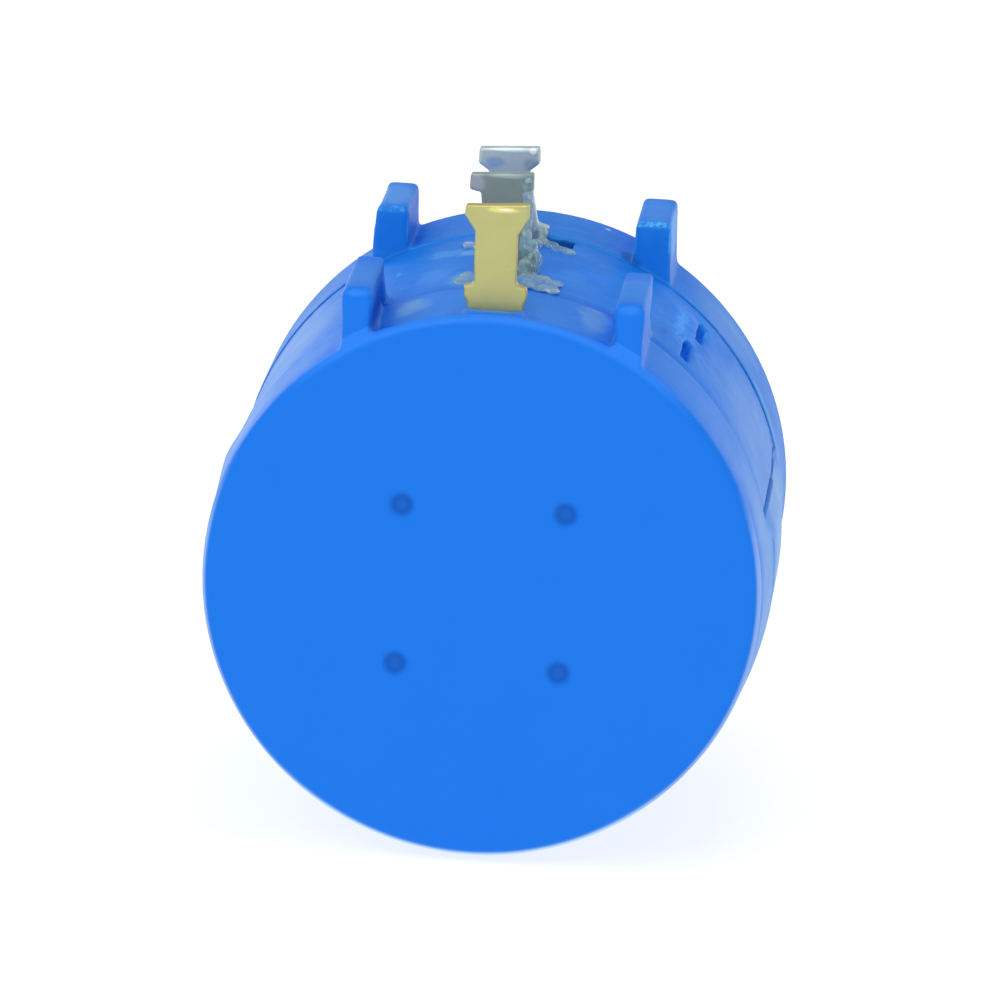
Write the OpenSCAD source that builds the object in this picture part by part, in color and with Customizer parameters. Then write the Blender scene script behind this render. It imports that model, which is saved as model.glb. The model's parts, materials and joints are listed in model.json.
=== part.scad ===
// Ten-turn wirewound potentiometer for panel mounting.
// Origin: centre of the mounting face. +Y runs along the shaft, +Z points at the terminals.
// Everything behind the panel has a negative Y.

/* [Front housing] */
// Outer radius of the front ring
ring_r = 11.13; // [10.9:0.01:13.4]
// Length of the front ring behind the panel
ring_length = 4.74; // [4.4:0.01:5.7]
// Thickness of the wall that meets the panel
front_wall = 2.0; // [1.6:0.05:2.6]
// Rounding of the front edge
front_round = 0.4; // [0.1:0.05:0.8]
// Height of the straight edges of the lower shell above the axis
shell_top = 3.0; // [1:0.1:5]
// Radial thickness of the lower shell next to the ring
shell_wall = 0.68; // [0.5:0.01:0.82]
// Distance from the panel to the step in the lower shell
shell_step_at = 8.2; // [6:0.1:12]
// How far the lower shell stands out behind its step
shell_rise = 0.2; // [0.05:0.01:0.4]

/* [Middle housing] */
// How far the middle housing lies below the front ring
barrel_drop = 0.1; // [0.02:0.01:0.3]
// Wall of the middle housing on the terminal side
barrel_wall = 1.78; // [1.65:0.01:2.14]
// Wall of the plug that enters the front ring
spigot_wall = 0.85; // [0.7:0.01:1]
// Wall of the plug that enters the rear cover
rear_spigot_wall = 0.7; // [0.55:0.01:0.75]
// Length of the plug that enters the rear cover
rear_spigot_length = 1.2; // [0.8:0.1:1.5]

/* [Rear cover] */
// Length of the rear cover
cover_length = 4.95; // [4.4:0.05:5.9]
// Thickness of the round rear wall
cover_wall = 1.3; // [1.1:0.05:1.6]
// Rounding of the rear rim
rim_round = 0.42; // [0.1:0.02:0.8]
// Extra radius of the cover at its open edge
cover_flare = 0.1; // [0:0.01:0.2]
// Length of the raised rim behind the recess
rim_length = 0.6; // [0.4:0.05:1]
// Depth of the recess between the ears
recess_depth = 0.25; // [0.1:0.01:0.4]
// Extra depth of the pockets beside the ears
pocket_depth = 0.4; // [0.05:0.01:0.45]
// Width of each pocket
pocket_w = 0.85; // [0.4:0.05:1.5]
// Width of the pad under the wiper terminal
pad_w = 2.4; // [2:0.05:3.4]
// Distance between neighbouring round marks on the rear face
mark_pitch = 6.46; // [6.2:0.01:7.8]
// Mouth radius of each round mark
mark_r = 0.5; // [0.3:0.05:0.8]
// Depth of each round mark
mark_depth = 0.24; // [0.1:0.02:0.4]
// How far the pad's flat top lies below the middle housing's radius
pad_drop = 0.05; // [0.04:0.01:0.3]
// Radius of the boss that carries the shaft's pivot
boss_r = 2.8; // [2.2:0.1:2.9]

/* [Ears] */
// Distance between the middles of a left and a right ear
ear_spacing = 10.68; // [10.4:0.02:12]
// Width of each rear ear at its top
rear_ear_w = 1.06; // [0.9:0.02:1.4]
// Width of each front ear at its top
front_ear_w = 1.42; // [1.2:0.02:1.6]
// Height of the front ears' tops above the front ring
ear_rise = 0.74; // [0.4:0.02:1.2]
// How far the rear ears' tops lie below the front ears' tops
rear_ear_drop = 0.1; // [0:0.02:0.3]
// Sideways draft of a rear ear's faces per millimetre of height
rear_ear_draft = 0.01; // [0:0.01:0.12]
// Sideways draft of a front ear's faces per millimetre of height
front_ear_draft = 0.03; // [0:0.01:0.06]
// Rounding of the rear ears' top edge at the rear
rear_ear_round = 0.36; // [0.05:0.01:0.5]
// Distance from the rear face to the rear ears
rear_ear_setback = 0.19; // [0.1:0.01:0.4]
// Corner rounding of the ears
ear_round = 0.24; // [0.05:0.01:0.4]
// Length of the posts on the middle housing that the rear ears meet
post_length = 1.1; // [0.6:0.1:2]
// How far those posts stand out inwards at their top
post_margin = 0.1; // [0:0.01:0.2]
// Draft of the posts' inner faces per millimetre of height
post_draft = 0.05; // [0:0.01:0.1]

/* [Terminals] */
// Thickness of each terminal
blade_t = 0.5; // [0.4:0.02:0.6]
// Width of the terminals' heads
head_w = 2.45; // [2.1:0.05:3]
// Width of the terminals' waists
waist_w = 1.67; // [1.4:0.01:1.9]
// Width of the leg that enters the housing
leg_w = 1.3; // [1:0.05:1.38]
// Height of the wiper terminal above the middle housing
wiper_reach = 4.21; // [3.5:0.01:5]
// Height of the middle terminal above the middle housing
cw_reach = 3.92; // [3.5:0.01:5]
// Height of the front terminal above the middle housing
ccw_reach = 3.6; // [3.3:0.01:5]
// Sideways offset of the wiper terminal's head
wiper_lean = -0.08; // [-0.3:0.02:0.3]
// Sideways offset of the middle terminal's head
cw_lean = -0.38; // [-0.6:0.02:0.6]
// Sideways offset of the front terminal's head
ccw_lean = -0.56; // [-0.6:0.02:0.6]

/* [Bushing and shaft] */
// Radius of the bushing's thread
bushing_r = 4.7625; // [4.4:0.0125:5.75]
// Length of the bushing in front of the panel
bushing_length = 7.94; // [6.6:0.02:9.6]
// Radius of the flange moulded into the front wall
bushing_flange_r = 6.4; // [6.2:0.05:7.7]
// Thickness of that flange
bushing_flange_t = 0.9; // [0.6:0.05:1.1]
// How far the bushing's root in the front wall stands out beyond the thread
root_extra = 0.4; // [0.2:0.05:0.6]
// Chamfer at the bushing's front edge
bushing_chamfer = 0.45; // [0.2:0.05:0.6]
// Radius of the shaft
shaft_r = 3.175; // [2.6:0.005:3.82]
// Distance from the panel to the shaft's end
shaft_reach = 20.64; // [17.2:0.02:24.8]
// Chamfer at the shaft's end
shaft_chamfer = 0.6; // [0.2:0.05:1]
// Width of the shallow grease groove round the shaft, at the bushing's mouth
grease_w = 0.5; // [0.3:0.05:0.8]
// Depth of that groove
grease_depth = 0.2; // [0.1:0.02:0.3]
// Radius of the pivot at the shaft's rear end
pivot_r = 1.5; // [1:0.05:1.8]
// Depth of the groove for the retaining ring
groove_depth = 0.55; // [0.3:0.05:0.8]
// Thickness of the retaining ring
clip_t = 0.5; // [0.4:0.05:0.6]
// Radial width of the retaining ring
clip_w = 1.75; // [1.2:0.05:2]
// Opening of the retaining ring in degrees
clip_opening = 70; // [40:5:110]
// Thickness of the thrust washer
washer_t = 0.5; // [0.4:0.05:0.6]
// Outer radius of the thrust washer
washer_r = 5.2; // [4.7:0.05:6]

/* [Resistance coil] */
// Number of turns that the wiper travels
turns = 10; // [5:1:12]
// Axial distance from turn to turn
coil_pitch = 0.9; // [0.76:0.01:1.08]
// Radius of the wound core
coil_wire_r = 0.35; // [0.28:0.01:0.36]
// Angle by which the coil runs past the last contact point at each end
coil_overrun = 10; // [6:1:20]

/* [Rotor and wiper] */
// Wall of the rotor's sleeve
hub_wall = 1.1; // [0.8:0.05:1.2]
// Thickness of the rotor's flanges
flange_t = 0.7; // [0.6:0.05:0.9]
// Radial gap between the rotor's flanges and the coil
flange_gap = 0.9; // [0.75:0.05:1.2]
// Radius of the guide rods
rod_r = 0.5; // [0.35:0.05:0.6]
// Angle of each guide rod from the wiper contact
rod_angle = 28; // [24:1:35]
// Width of the wiper carriage along the shaft
carriage_w = 1.4; // [1.1:0.05:1.8]
// Half angle of the wiper carriage
carriage_half = 40; // [38:1:60]
// Thickness of the contact springs
spring_t = 0.16; // [0.1:0.01:0.2]
// Width of the contact springs
spring_w = 0.8; // [0.6:0.05:1]
// Thickness of the slip ring
slip_t = 0.25; // [0.15:0.05:0.4]
// Room for the brush between the slip ring and the rear wall
brush_room = 1.9; // [1.7:0.05:2.4]

/* [Fits] */
// Width of the visible joints between the housing parts
seam = 0.1; // [0.05:0.01:0.15]
// Radial clearance of turning and sliding fits
run_fit = 0.03; // [0.02:0.005:0.05]
// Clearance between parts that are fixed to each other
set_fit = 0.02; // [0.01:0.005:0.04]
// Clearance between the contacts and what they wipe
contact_gap = 0.08; // [0.06:0.01:0.12]
// Axial clearance between stacked parts on the shaft
end_play = 0.05; // [0.03:0.01:0.1]
// Gap between the retaining ring and the rotor
rotor_gap = 0.2; // [0.15:0.05:0.3]
// Gap between the carriage and the flanges at the ends of its travel
carriage_gap = 0.25; // [0.22:0.01:0.35]

/* [Hidden] */
$fn = 128;
arc_steps = 6;
blue = [0.08, 0.36, 0.9];
tin = [0.62, 0.68, 0.7];
gold = [0.8, 0.72, 0.36];

// Radii, from the outside in
barrel_r = ring_r - barrel_drop;
shell_r = ring_r + shell_rise;
shell_in = ring_r - shell_wall;
lower_r = shell_in - set_fit;
bore_r = barrel_r - barrel_wall;
spigot_r = bore_r + spigot_wall;
rear_spigot_r = bore_r + rear_spigot_wall;
ring_in = spigot_r + set_fit;
cover_in = rear_spigot_r + set_fit;
recess_r = barrel_r - recess_depth;
pocket_r = recess_r - pocket_depth;
coil_r = bore_r - coil_wire_r - set_fit;
coil_in = coil_r - coil_wire_r;
flange_r = coil_in - flange_gap;
root_r = bushing_r + root_extra;
hub_r = shaft_r + hub_wall;
rod_circle_r = (hub_r + flange_r) / 2;
groove_r = shaft_r - groove_depth;
mark_ball_r = (mark_r * mark_r + mark_depth * mark_depth) / (2 * mark_depth);

// Places along the shaft, from the panel backwards
washer_y = -front_wall - end_play;
clip_y = washer_y - washer_t - end_play;
rotor_y = clip_y - clip_t - rotor_gap;
front_stop_y = rotor_y - flange_t - carriage_gap;
travel = turns * coil_pitch;
mid_y = front_stop_y - carriage_w / 2 - travel / 2;
rear_stop_y = mid_y - travel / 2 - carriage_w / 2;
rotor_end_y = rear_stop_y - carriage_gap - flange_t;
slip_y = rotor_end_y - slip_t;
floor_y = slip_y - brush_room;
rear_y = floor_y - cover_wall;
cover_y = rear_y + cover_length;
shell_end_y = cover_y;
barrel_y = -ring_length - seam;
cover_edge_y = cover_y - seam;
rear_spigot_y = cover_y - rear_spigot_length;
spigot_y = -front_wall - seam;
recess_y = rear_y + rim_length;
ear_start_y = rear_y + rear_ear_setback;

grease_y = bushing_length + 0.06;

// Ears
ear_top = ring_r + ear_rise;
rear_ear_top = ear_top - rear_ear_drop;
ear_inner = ear_spacing / 2 - rear_ear_w / 2 - 0.1;

// Terminals stand at even steps from the front seam to the rear wall
wiper_y = floor_y + set_fit + blade_t / 2;
ccw_y = -ring_length;
cw_y = (ccw_y + wiper_y) / 2;
pad_z = barrel_r - pad_drop;
strap_in = bore_r + set_fit;
strap_out = strap_in + 0.33;
strap_room_r = strap_out + set_fit;
leg_end = strap_room_r;
wiper_leg_end = bore_r - 2.2;
carriage_top = flange_r - 0.75;
shoe_r = 0.25;
overrun_half = coil_overrun + 2.5;
leg_half = asin((leg_w / 2) / strap_out);
slot_half = leg_w / 2 + 0.1;
slot_side = 2.15;

// Drops of sealing resin on the housing: sideways place, distance from a terminal, radius
cw_drops = [[1.25, -0.5, 0.85], [1.75, -1.5, 0.6], [1.3, 0.5, 0.7], [-1.55, -1.4, 0.45]];
ccw_drops = [[1.1, -0.9, 0.6], [1.75, -1.5, 0.4], [-1.6, -0.9, 0.45]];
// Shallow notches in the side of the middle housing: angle from the top, start, length
side_notches = [[43.7, -5.9, 2.8], [41.3, -10, 3]];

// Points of an arc about a centre
function arc(centre, r, from, to, n = arc_steps) =
    [for (i = [0:n]) let (a = from + (to - from) * i / n) centre + r * [cos(a), sin(a)]];

// Points that round the corner p between its neighbours a and b
function corner(p, a, b, r) = r == 0 ? [p] :
    let (u = (a - p) / norm(a - p), v = (b - p) / norm(b - p), half = acos(u * v) / 2,
        centre = p + (u + v) / norm(u + v) * r / sin(half),
        start = p + u * r / tan(half) - centre, end = p + v * r / tan(half) - centre,
        turn = sign(start.x * end.y - start.y * end.x) * (180 - 2 * half))
    [for (i = [0:arc_steps]) let (t = turn * i / arc_steps)
        centre + [start.x * cos(t) - start.y * sin(t), start.x * sin(t) + start.y * cos(t)]];

// Outline through the points with each corner rounded by its own radius
function rounded(points, radii) = let (n = len(points))
    [for (i = [0:n - 1]) each corner(points[i], points[(i + n - 1) % n], points[(i + 1) % n], radii[i])];

// Outline of a strip of even thickness along a path
function ribbon(path, t) = let (n = len(path),
        normals = [for (i = [0:n - 2]) let (d = path[i + 1] - path[i]) [-d.y, d.x] / norm(d)],
        side = [for (i = [0:n - 1]) let (a = normals[max(i - 1, 0)], b = normals[min(i, n - 2)])
            t / 2 * (a + b) / (1 + a * b)])
    concat([for (i = [0:n - 1]) path[i] + side[i]], [for (i = [n - 1:-1:0]) path[i] - side[i]]);

// Height of a round surface at a sideways distance x
function rise(r, x) = sqrt(r * r - x * x);

// Solid of revolution about the shaft's axis; each point is a radius and a place along Y
module turned(points) rotate([-90, 0, 0]) rotate_extrude() polygon(points);

// The same, between two angles measured from the top towards +X
module turned_part(points, from, to) rotate([-90, 0, 0]) rotate([0, 0, from - 90])
    rotate_extrude(angle = to - from) polygon(points);

// Straight pin along the shaft's axis from y0 to y1
module pin(r, y0, y1) translate([0, y0, 0]) rotate([-90, 0, 0]) cylinder(h = y1 - y0, r = r);

// Outline seen from the panel's side, given length from y0 to y1
module along(y0, y1) translate([0, y1, 0]) rotate([90, 0, 0]) linear_extrude(y1 - y0) children();

// Outline seen from the side, given width from x0 to x1
module across(x0, x1) translate([x0, 0, 0]) rotate([90, 0, 90]) linear_extrude(x1 - x0) children();

// Box between two corners
module block(low, high) translate(low) cube(high - low);

// Points of a rectangle in radius and Y
function band(r0, r1, y0, y1) = [[r0, y0], [r1, y0], [r1, y1], [r0, y1]];

// A left and a right ear, tapered upwards, with its rear top edge rounded by rear_round. The list sides
// holds how far the inner and the outer face stand from the ear's middle, and drafts their slopes.
module ear_pair(y0, y1, top, rear_round, sides, drafts, foot_r) {
    base = foot_r * 0.7;
    foot = sides + (top - base) * drafts;
    for (side = [0, 1]) mirror([side, 0, 0]) difference() {
        intersection() {
            along(y0, y1) translate([ear_spacing / 2, 0])
                polygon(rounded([[-foot[0], base], [foot[1], base], [sides[1], top], [-sides[0], top]],
                    [0, 0, ear_round, ear_round]));
            across(0, ring_r) polygon(rounded([[y0, base], [y1, base], [y1, top], [y0, top]],
                [0, 0, ear_round, rear_round]));
        }
        pin(foot_r, y0 - 1, y1 + 1);
    }
}

module front_housing() color(blue) {
    difference() {
        turned(concat(
            [[root_r + set_fit, 0]],
            arc([ring_r - front_round, -front_round], front_round, 90, 0),
            [[ring_r, shell_rise - shell_step_at], [shell_r, -shell_step_at], [shell_r, shell_end_y],
                [shell_in, shell_end_y], [shell_in, -ring_length], [ring_in, -ring_length],
                [ring_in, -front_wall], [bushing_flange_r + set_fit, -front_wall],
                [bushing_flange_r + set_fit, bushing_flange_t - front_wall],
                [root_r + set_fit, bushing_flange_t - front_wall]]));
        block([-2 * ring_r, 2 * shell_end_y, shell_top], [2 * ring_r, -ring_length, 2 * ring_r]);
        block([-slot_half, -2 * ring_length, 0], [slot_half, ccw_y + blade_t / 2 + seam, ear_top]);
    }
    ear_pair(-ring_length, 0, ear_top, ear_round, [1, 1] * front_ear_w / 2, [1, 1] * front_ear_draft,
        (ring_r + ring_in) / 2);
}

// Room for a terminal's leg through the middle housing
module leg_slot(y, rear, to_side) {
    block([-slot_half, y - rear, bore_r / 2], [to_side, y + blade_t / 2 + seam, 2 * ring_r]);
}

module coil_housing() color(blue) difference() {
    union() {
        turned([[bore_r, spigot_y], [spigot_r, spigot_y], [spigot_r, barrel_y], [lower_r, barrel_y],
            [lower_r, cover_y], [rear_spigot_r, cover_y], [rear_spigot_r, rear_spigot_y],
            [bore_r, rear_spigot_y]]);
        intersection() {
            turned(band(bore_r, barrel_r, cover_y, barrel_y));
            block([-2 * ring_r, rear_y, shell_top + seam], [2 * ring_r, 0, 2 * ring_r]);
        }
        ear_pair(cover_y, cover_y + post_length, rear_ear_top, ear_round,
            [1, 1] * rear_ear_w / 2 + [post_margin, 0], [post_draft, rear_ear_draft],
            (barrel_r + bore_r) / 2);
    }
    leg_slot(ccw_y, 0.9, slot_side);
    leg_slot(cw_y, blade_t / 2 + seam, slot_half);
    turned_part(band(bore_r - 1, strap_room_r, ccw_y - 0.6, spigot_y + 1), -leg_half - 3, overrun_half + 1);
    turned_part(band(bore_r - 1, strap_room_r, cw_y - 0.35, cw_y + 0.35), -overrun_half - 1, leg_half + 3);
    turned_part(band(bore_r - 1, strap_room_r, rear_y, cw_y), -overrun_half - 1, 3.5 - coil_overrun);
    for (n = side_notches)
        turned_part(band(barrel_r - 0.45, barrel_r + 1, n[1] - n[2], n[1]), n[0] - 1, n[0] + 1);
}

module rear_cover() color(blue) {
    difference() {
        turned(concat(
            [[0, rear_y]],
            arc([barrel_r - rim_round, rear_y + rim_round], rim_round, -90, 0),
            [[barrel_r + cover_flare, cover_edge_y], [cover_in, cover_edge_y], [cover_in, floor_y],
                [boss_r, floor_y], [boss_r, slip_y - 0.2], [pivot_r + run_fit, slip_y - 0.2],
                [pivot_r + run_fit, floor_y + 0.15], [0, floor_y + 0.15]]));
        intersection() {
            difference() {
                turned(band(recess_r, 2 * ring_r, recess_y, 0));
                block([-pad_w / 2, rear_y, 0], [pad_w / 2, wiper_y + blade_t, pad_z]);
            }
            block([-ear_inner, rear_y, 0], [ear_inner, 0, 2 * ring_r]);
        }
        for (side = [0, 1]) mirror([side, 0, 0]) intersection() {
            turned(band(pocket_r, 2 * ring_r, recess_y, 0));
            block([ear_inner - pocket_w, rear_y, 0], [ear_inner, 0, 2 * ring_r]);
        }
        block([-slot_half, floor_y, bore_r], [slot_half, wiper_y + blade_t / 2 + seam, 2 * ring_r]);
        for (x = [-1, 1], z = [-1, 1])
            translate([x * mark_pitch / 2, rear_y + mark_depth - mark_ball_r, z * mark_pitch / 2])
                sphere(mark_ball_r);
    }
    ear_pair(ear_start_y, cover_edge_y, rear_ear_top, rear_ear_round, [1, 1] * rear_ear_w / 2,
        [1, 1] * rear_ear_draft, (barrel_r + cover_in) / 2);
}

module bushing() color(tin) turned([[shaft_r + run_fit, -front_wall], [bushing_flange_r, -front_wall],
    [bushing_flange_r, bushing_flange_t - front_wall], [root_r, bushing_flange_t - front_wall],
    [root_r, 0], [bushing_r, 0], [bushing_r, bushing_length - bushing_chamfer],
    [bushing_r - bushing_chamfer, bushing_length], [shaft_r + run_fit, bushing_length]]);

module shaft() color(tin) turned([[0, floor_y + 0.3], [pivot_r - 0.2, floor_y + 0.3],
    [pivot_r, floor_y + 0.5], [pivot_r, rotor_end_y], [shaft_r, rotor_end_y],
    [shaft_r, clip_y - clip_t - set_fit], [groove_r, clip_y - clip_t - set_fit],
    [groove_r, clip_y + set_fit], [shaft_r, clip_y + set_fit], [shaft_r, grease_y - grease_w],
    [shaft_r - grease_depth, grease_y - grease_w], [shaft_r - grease_depth, grease_y], [shaft_r, grease_y],
    [shaft_r, shaft_reach - shaft_chamfer], [shaft_r - shaft_chamfer, shaft_reach], [0, shaft_reach]]);

module thrust_washer() color("silver")
    turned(band(shaft_r + run_fit, washer_r, washer_y - washer_t, washer_y));

module retaining_ring() color("dimgray")
    turned_part(band(groove_r + set_fit, groove_r + clip_w, clip_y - clip_t, clip_y),
        180 + clip_opening / 2, 540 - clip_opening / 2);

// Repeats its children at the left and the right guide rod
module at_rod(side) rotate([0, side * rod_angle, 0]) translate([0, 0, rod_circle_r]) children();

module guide_rod(side) color("silver") at_rod(side) pin(rod_r, rotor_end_y, rotor_y);

module guide_rod_left() guide_rod(-1);

module guide_rod_right() guide_rod(1);

module rotor() color("dimgray") difference() {
    turned([[shaft_r + set_fit, rotor_end_y], [flange_r, rotor_end_y], [flange_r, rotor_end_y + flange_t],
        [hub_r, rotor_end_y + flange_t], [hub_r, rotor_y - flange_t], [flange_r, rotor_y - flange_t],
        [flange_r, rotor_y], [shaft_r + set_fit, rotor_y]]);
    for (side = [-1, 1]) at_rod(side) pin(rod_r + set_fit, 2 * rotor_end_y, 0);
}

module slip_ring() color(gold)
    turned(band(shaft_r + 0.4, rod_circle_r + rod_r, slip_y, rotor_end_y));

module wiper_carriage() color("ivory") difference() {
    turned_part(band(hub_r + 0.3, flange_r - 0.3, mid_y - carriage_w / 2, mid_y + carriage_w / 2),
        -carriage_half, carriage_half);
    for (side = [-1, 1]) at_rod(side) pin(rod_r + run_fit, rear_y, 0);
    block([-1.6, rear_y, carriage_top], [1.6, 0, 2 * ring_r]);
}

module wiper_contact() color(gold) {
    tip = coil_in - contact_gap - shoe_r;
    seat = carriage_top + set_fit + spring_t / 2;
    along(mid_y - spring_w / 2, mid_y + spring_w / 2)
        polygon(ribbon([[-1.5, seat], [-0.6, seat], [-0.3, seat + 0.3], [0, tip]], spring_t));
    translate([0, 0, tip]) pin(shoe_r, mid_y - coil_pitch / 4, mid_y + coil_pitch / 4);
}

module rod_contact() color(gold) {
    y0 = mid_y + carriage_w / 2;
    y1 = y0 + spring_t / 2;
    difference() {
        union() {
            at_rod(1) pin(rod_r + 0.45, y0, y1);
            rotate([0, rod_angle, 0]) block([-2.2, y0, rod_circle_r - 0.4], [0, y1, rod_circle_r + 0.4]);
        }
        at_rod(1) pin(rod_r + run_fit, rear_y, 0);
    }
}

module slip_brush() color(gold) {
    back = wiper_y + blade_t / 2 + spring_t / 2 + set_fit;
    tip = slip_y - contact_gap / 2 - spring_t / 2;
    across(-spring_w, spring_w) polygon(ribbon([[back, wiper_leg_end + 1.4], [back, boss_r + 1.4],
        [back + 0.2, boss_r + 1], [back + 0.5, boss_r + 1], [tip, boss_r + 2.2]], spring_t));
}

// Swept tube along the coil's helix
coil_steps = 36;
coil_sides = 6;
coil_first = -turns / 2 - coil_overrun / 360;
coil_last = turns / 2 + coil_overrun / 360;
coil_rings = ceil((coil_last - coil_first) * coil_steps);

// One corner of the tube's section: t counts turns from the middle, a goes round the wire
function coil_point(t, a) = let (r = coil_r + coil_wire_r * cos(a))
    [r * sin(360 * t), mid_y + coil_pitch * t + coil_wire_r * sin(a), r * cos(360 * t)];

module resistance_coil() color("sienna") {
    points = [for (i = [0:coil_rings], s = [0:coil_sides - 1])
        coil_point(coil_first + (coil_last - coil_first) * i / coil_rings, 360 * s / coil_sides)];
    last = coil_rings * coil_sides;
    polyhedron(points, concat(
        [[for (s = [0:coil_sides - 1]) coil_sides - 1 - s]],
        [for (i = [0:coil_rings - 1], s = [0:coil_sides - 1])
            let (a = i * coil_sides, n = (s + 1) % coil_sides)
            [a + s, a + n, a + n + coil_sides, a + s + coil_sides]],
        [[for (s = [0:coil_sides - 1]) last + s]]));
}

// Flat terminal with a waist, from its leg's end to its head. Its shoulders rest at seat_z; its head is
// straight over the length skirt and then narrows over the length taper.
module terminal(y, reach, lean, seat_z, leg_bottom, skirt, taper) {
    foot_z = seat_z + set_fit;
    top = barrel_r + reach;
    h = head_w / 2;
    w = waist_w / 2;
    half = [[h, top], [h, top - skirt], [w, top - skirt - taper], [w, foot_z + 1.15], [h, foot_z + 0.75],
        [h, foot_z + 0.4], [leg_w / 2 + 0.35, foot_z + 0.12], [leg_w / 2 + 0.35, foot_z]];
    lean_at = function (z) lean * min(1, (z - foot_z) / 1.5);
    right = [for (p = half) [p.x + lean_at(p.y), p.y]];
    left = [for (i = [len(half) - 1:-1:0]) [lean_at(half[i].y) - half[i].x, half[i].y]];
    leg = [[leg_w / 2, foot_z], [leg_w / 2, leg_bottom], [-leg_w / 2, leg_bottom], [-leg_w / 2, foot_z]];
    radii = [0.22, 0.15, 0.3, 0.3, 0.12, 0.1, 0, 0];
    mirrored = [for (i = [len(radii) - 1:-1:0]) radii[i]];
    intersection() {
        along(y - blade_t / 2, y + blade_t / 2)
            polygon(rounded(concat(right, leg, left), concat(radii, [0, 0, 0, 0], mirrored)));
        across(-2 * head_w, 2 * head_w) polygon(rounded([[y - blade_t / 2, 0], [y + blade_t / 2, 0],
            [y + blade_t / 2, top], [y - blade_t / 2, top]], [0, 0, 0.16, 0.2]));
    }
}

module ccw_terminal() color(tin) terminal(ccw_y, ccw_reach, ccw_lean, ring_r, leg_end, 0.6, 0.4);

module cw_terminal() color(tin) terminal(cw_y, cw_reach, cw_lean, barrel_r, leg_end, 0.65, 0.1);

module wiper_terminal() color(gold)
    terminal(wiper_y, wiper_reach, wiper_lean, pad_z, wiper_leg_end, 0.5, 0.75);

module ccw_end_strap() color("silver") {
    coil_end_y = mid_y + travel / 2;
    turned_part(band(strap_in, strap_out, min(ccw_y, coil_end_y) - 0.29, max(ccw_y, coil_end_y) + 0.2),
        -leg_half, overrun_half);
}

module cw_end_strap() color("silver") {
    turned_part(band(strap_in, strap_out, cw_y - 0.3, cw_y + 0.3), -overrun_half, leg_half);
    turned_part(band(strap_in, strap_out, mid_y - travel / 2 - 0.3, cw_y),
        -overrun_half, 2.5 - coil_overrun);
}

// Resin drops round one terminal, resting on the housing's surface
module drops(list, y) {
    difference() {
        for (d = list) translate([d[0], y + d[1], rise(barrel_r, d[0])]) sphere(d[2]);
        pin(barrel_r + set_fit / 2, rear_y, barrel_y);
        pin(ring_r + set_fit / 2, barrel_y, 0);
        block([-head_w, y - blade_t / 2 - set_fit, 0],
            [head_w / 2 + 0.1, y + blade_t / 2 + set_fit, 2 * ring_r]);
    }
}

module terminal_resin() color("darkseagreen") {
    drops(cw_drops, cw_y);
    drops(ccw_drops, ccw_y);
    block([slot_half, ccw_y - 0.86, strap_out + 0.4], [slot_side - 0.06, barrel_y - 0.1, barrel_r - 0.35]);
}

front_housing();
coil_housing();
rear_cover();
bushing();
shaft();
thrust_washer();
retaining_ring();
rotor();
guide_rod_left();
guide_rod_right();
slip_ring();
wiper_carriage();
wiper_contact();
rod_contact();
slip_brush();
resistance_coil();
ccw_terminal();
cw_terminal();
wiper_terminal();
ccw_end_strap();
cw_end_strap();
terminal_resin();
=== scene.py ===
"""Ten-turn wirewound potentiometer, dressed for a studio picture.

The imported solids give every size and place. This file softens the three blue mouldings, cuts the
bushing's thread, winds the coil's wire, lays the resin round the terminals' feet and gives each
piece its finish. The row frame has +Y along the shaft and +Z towards the terminals.
"""

from __future__ import annotations

import json
import logging
import math
from dataclasses import dataclass
from enum import Enum
from functools import partial, reduce
from itertools import product
from typing import Any, Iterable, Sequence

import bmesh
import bpy
import numpy as np
from mathutils import Matrix, Vector

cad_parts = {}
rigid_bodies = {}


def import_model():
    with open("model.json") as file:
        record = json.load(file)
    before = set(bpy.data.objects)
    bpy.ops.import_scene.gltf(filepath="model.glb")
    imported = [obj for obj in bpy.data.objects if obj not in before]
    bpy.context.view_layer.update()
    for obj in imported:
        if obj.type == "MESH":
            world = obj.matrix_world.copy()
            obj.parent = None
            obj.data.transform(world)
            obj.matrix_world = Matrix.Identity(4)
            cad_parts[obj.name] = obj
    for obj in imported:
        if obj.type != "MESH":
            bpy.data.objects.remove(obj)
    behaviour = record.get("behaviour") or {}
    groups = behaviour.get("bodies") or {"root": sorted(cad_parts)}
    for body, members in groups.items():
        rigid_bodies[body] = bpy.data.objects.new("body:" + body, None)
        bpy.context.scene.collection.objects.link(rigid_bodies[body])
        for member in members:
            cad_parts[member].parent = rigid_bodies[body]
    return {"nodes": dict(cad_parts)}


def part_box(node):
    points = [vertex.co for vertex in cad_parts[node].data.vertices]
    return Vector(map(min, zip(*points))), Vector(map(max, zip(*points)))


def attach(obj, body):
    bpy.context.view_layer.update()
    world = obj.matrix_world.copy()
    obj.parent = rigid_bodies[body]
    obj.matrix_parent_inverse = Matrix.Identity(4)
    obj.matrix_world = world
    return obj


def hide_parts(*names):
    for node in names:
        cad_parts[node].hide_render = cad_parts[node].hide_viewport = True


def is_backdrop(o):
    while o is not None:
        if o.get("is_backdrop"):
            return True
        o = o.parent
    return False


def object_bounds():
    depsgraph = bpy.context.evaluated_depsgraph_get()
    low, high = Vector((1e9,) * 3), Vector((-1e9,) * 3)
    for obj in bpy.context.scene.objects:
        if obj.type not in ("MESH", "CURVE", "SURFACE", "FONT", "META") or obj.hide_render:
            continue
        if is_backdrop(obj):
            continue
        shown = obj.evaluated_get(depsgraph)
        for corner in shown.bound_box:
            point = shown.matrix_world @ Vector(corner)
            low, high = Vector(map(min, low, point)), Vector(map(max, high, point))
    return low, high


MM = 0.001
LOG = logging.getLogger("potentiometer")

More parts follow.
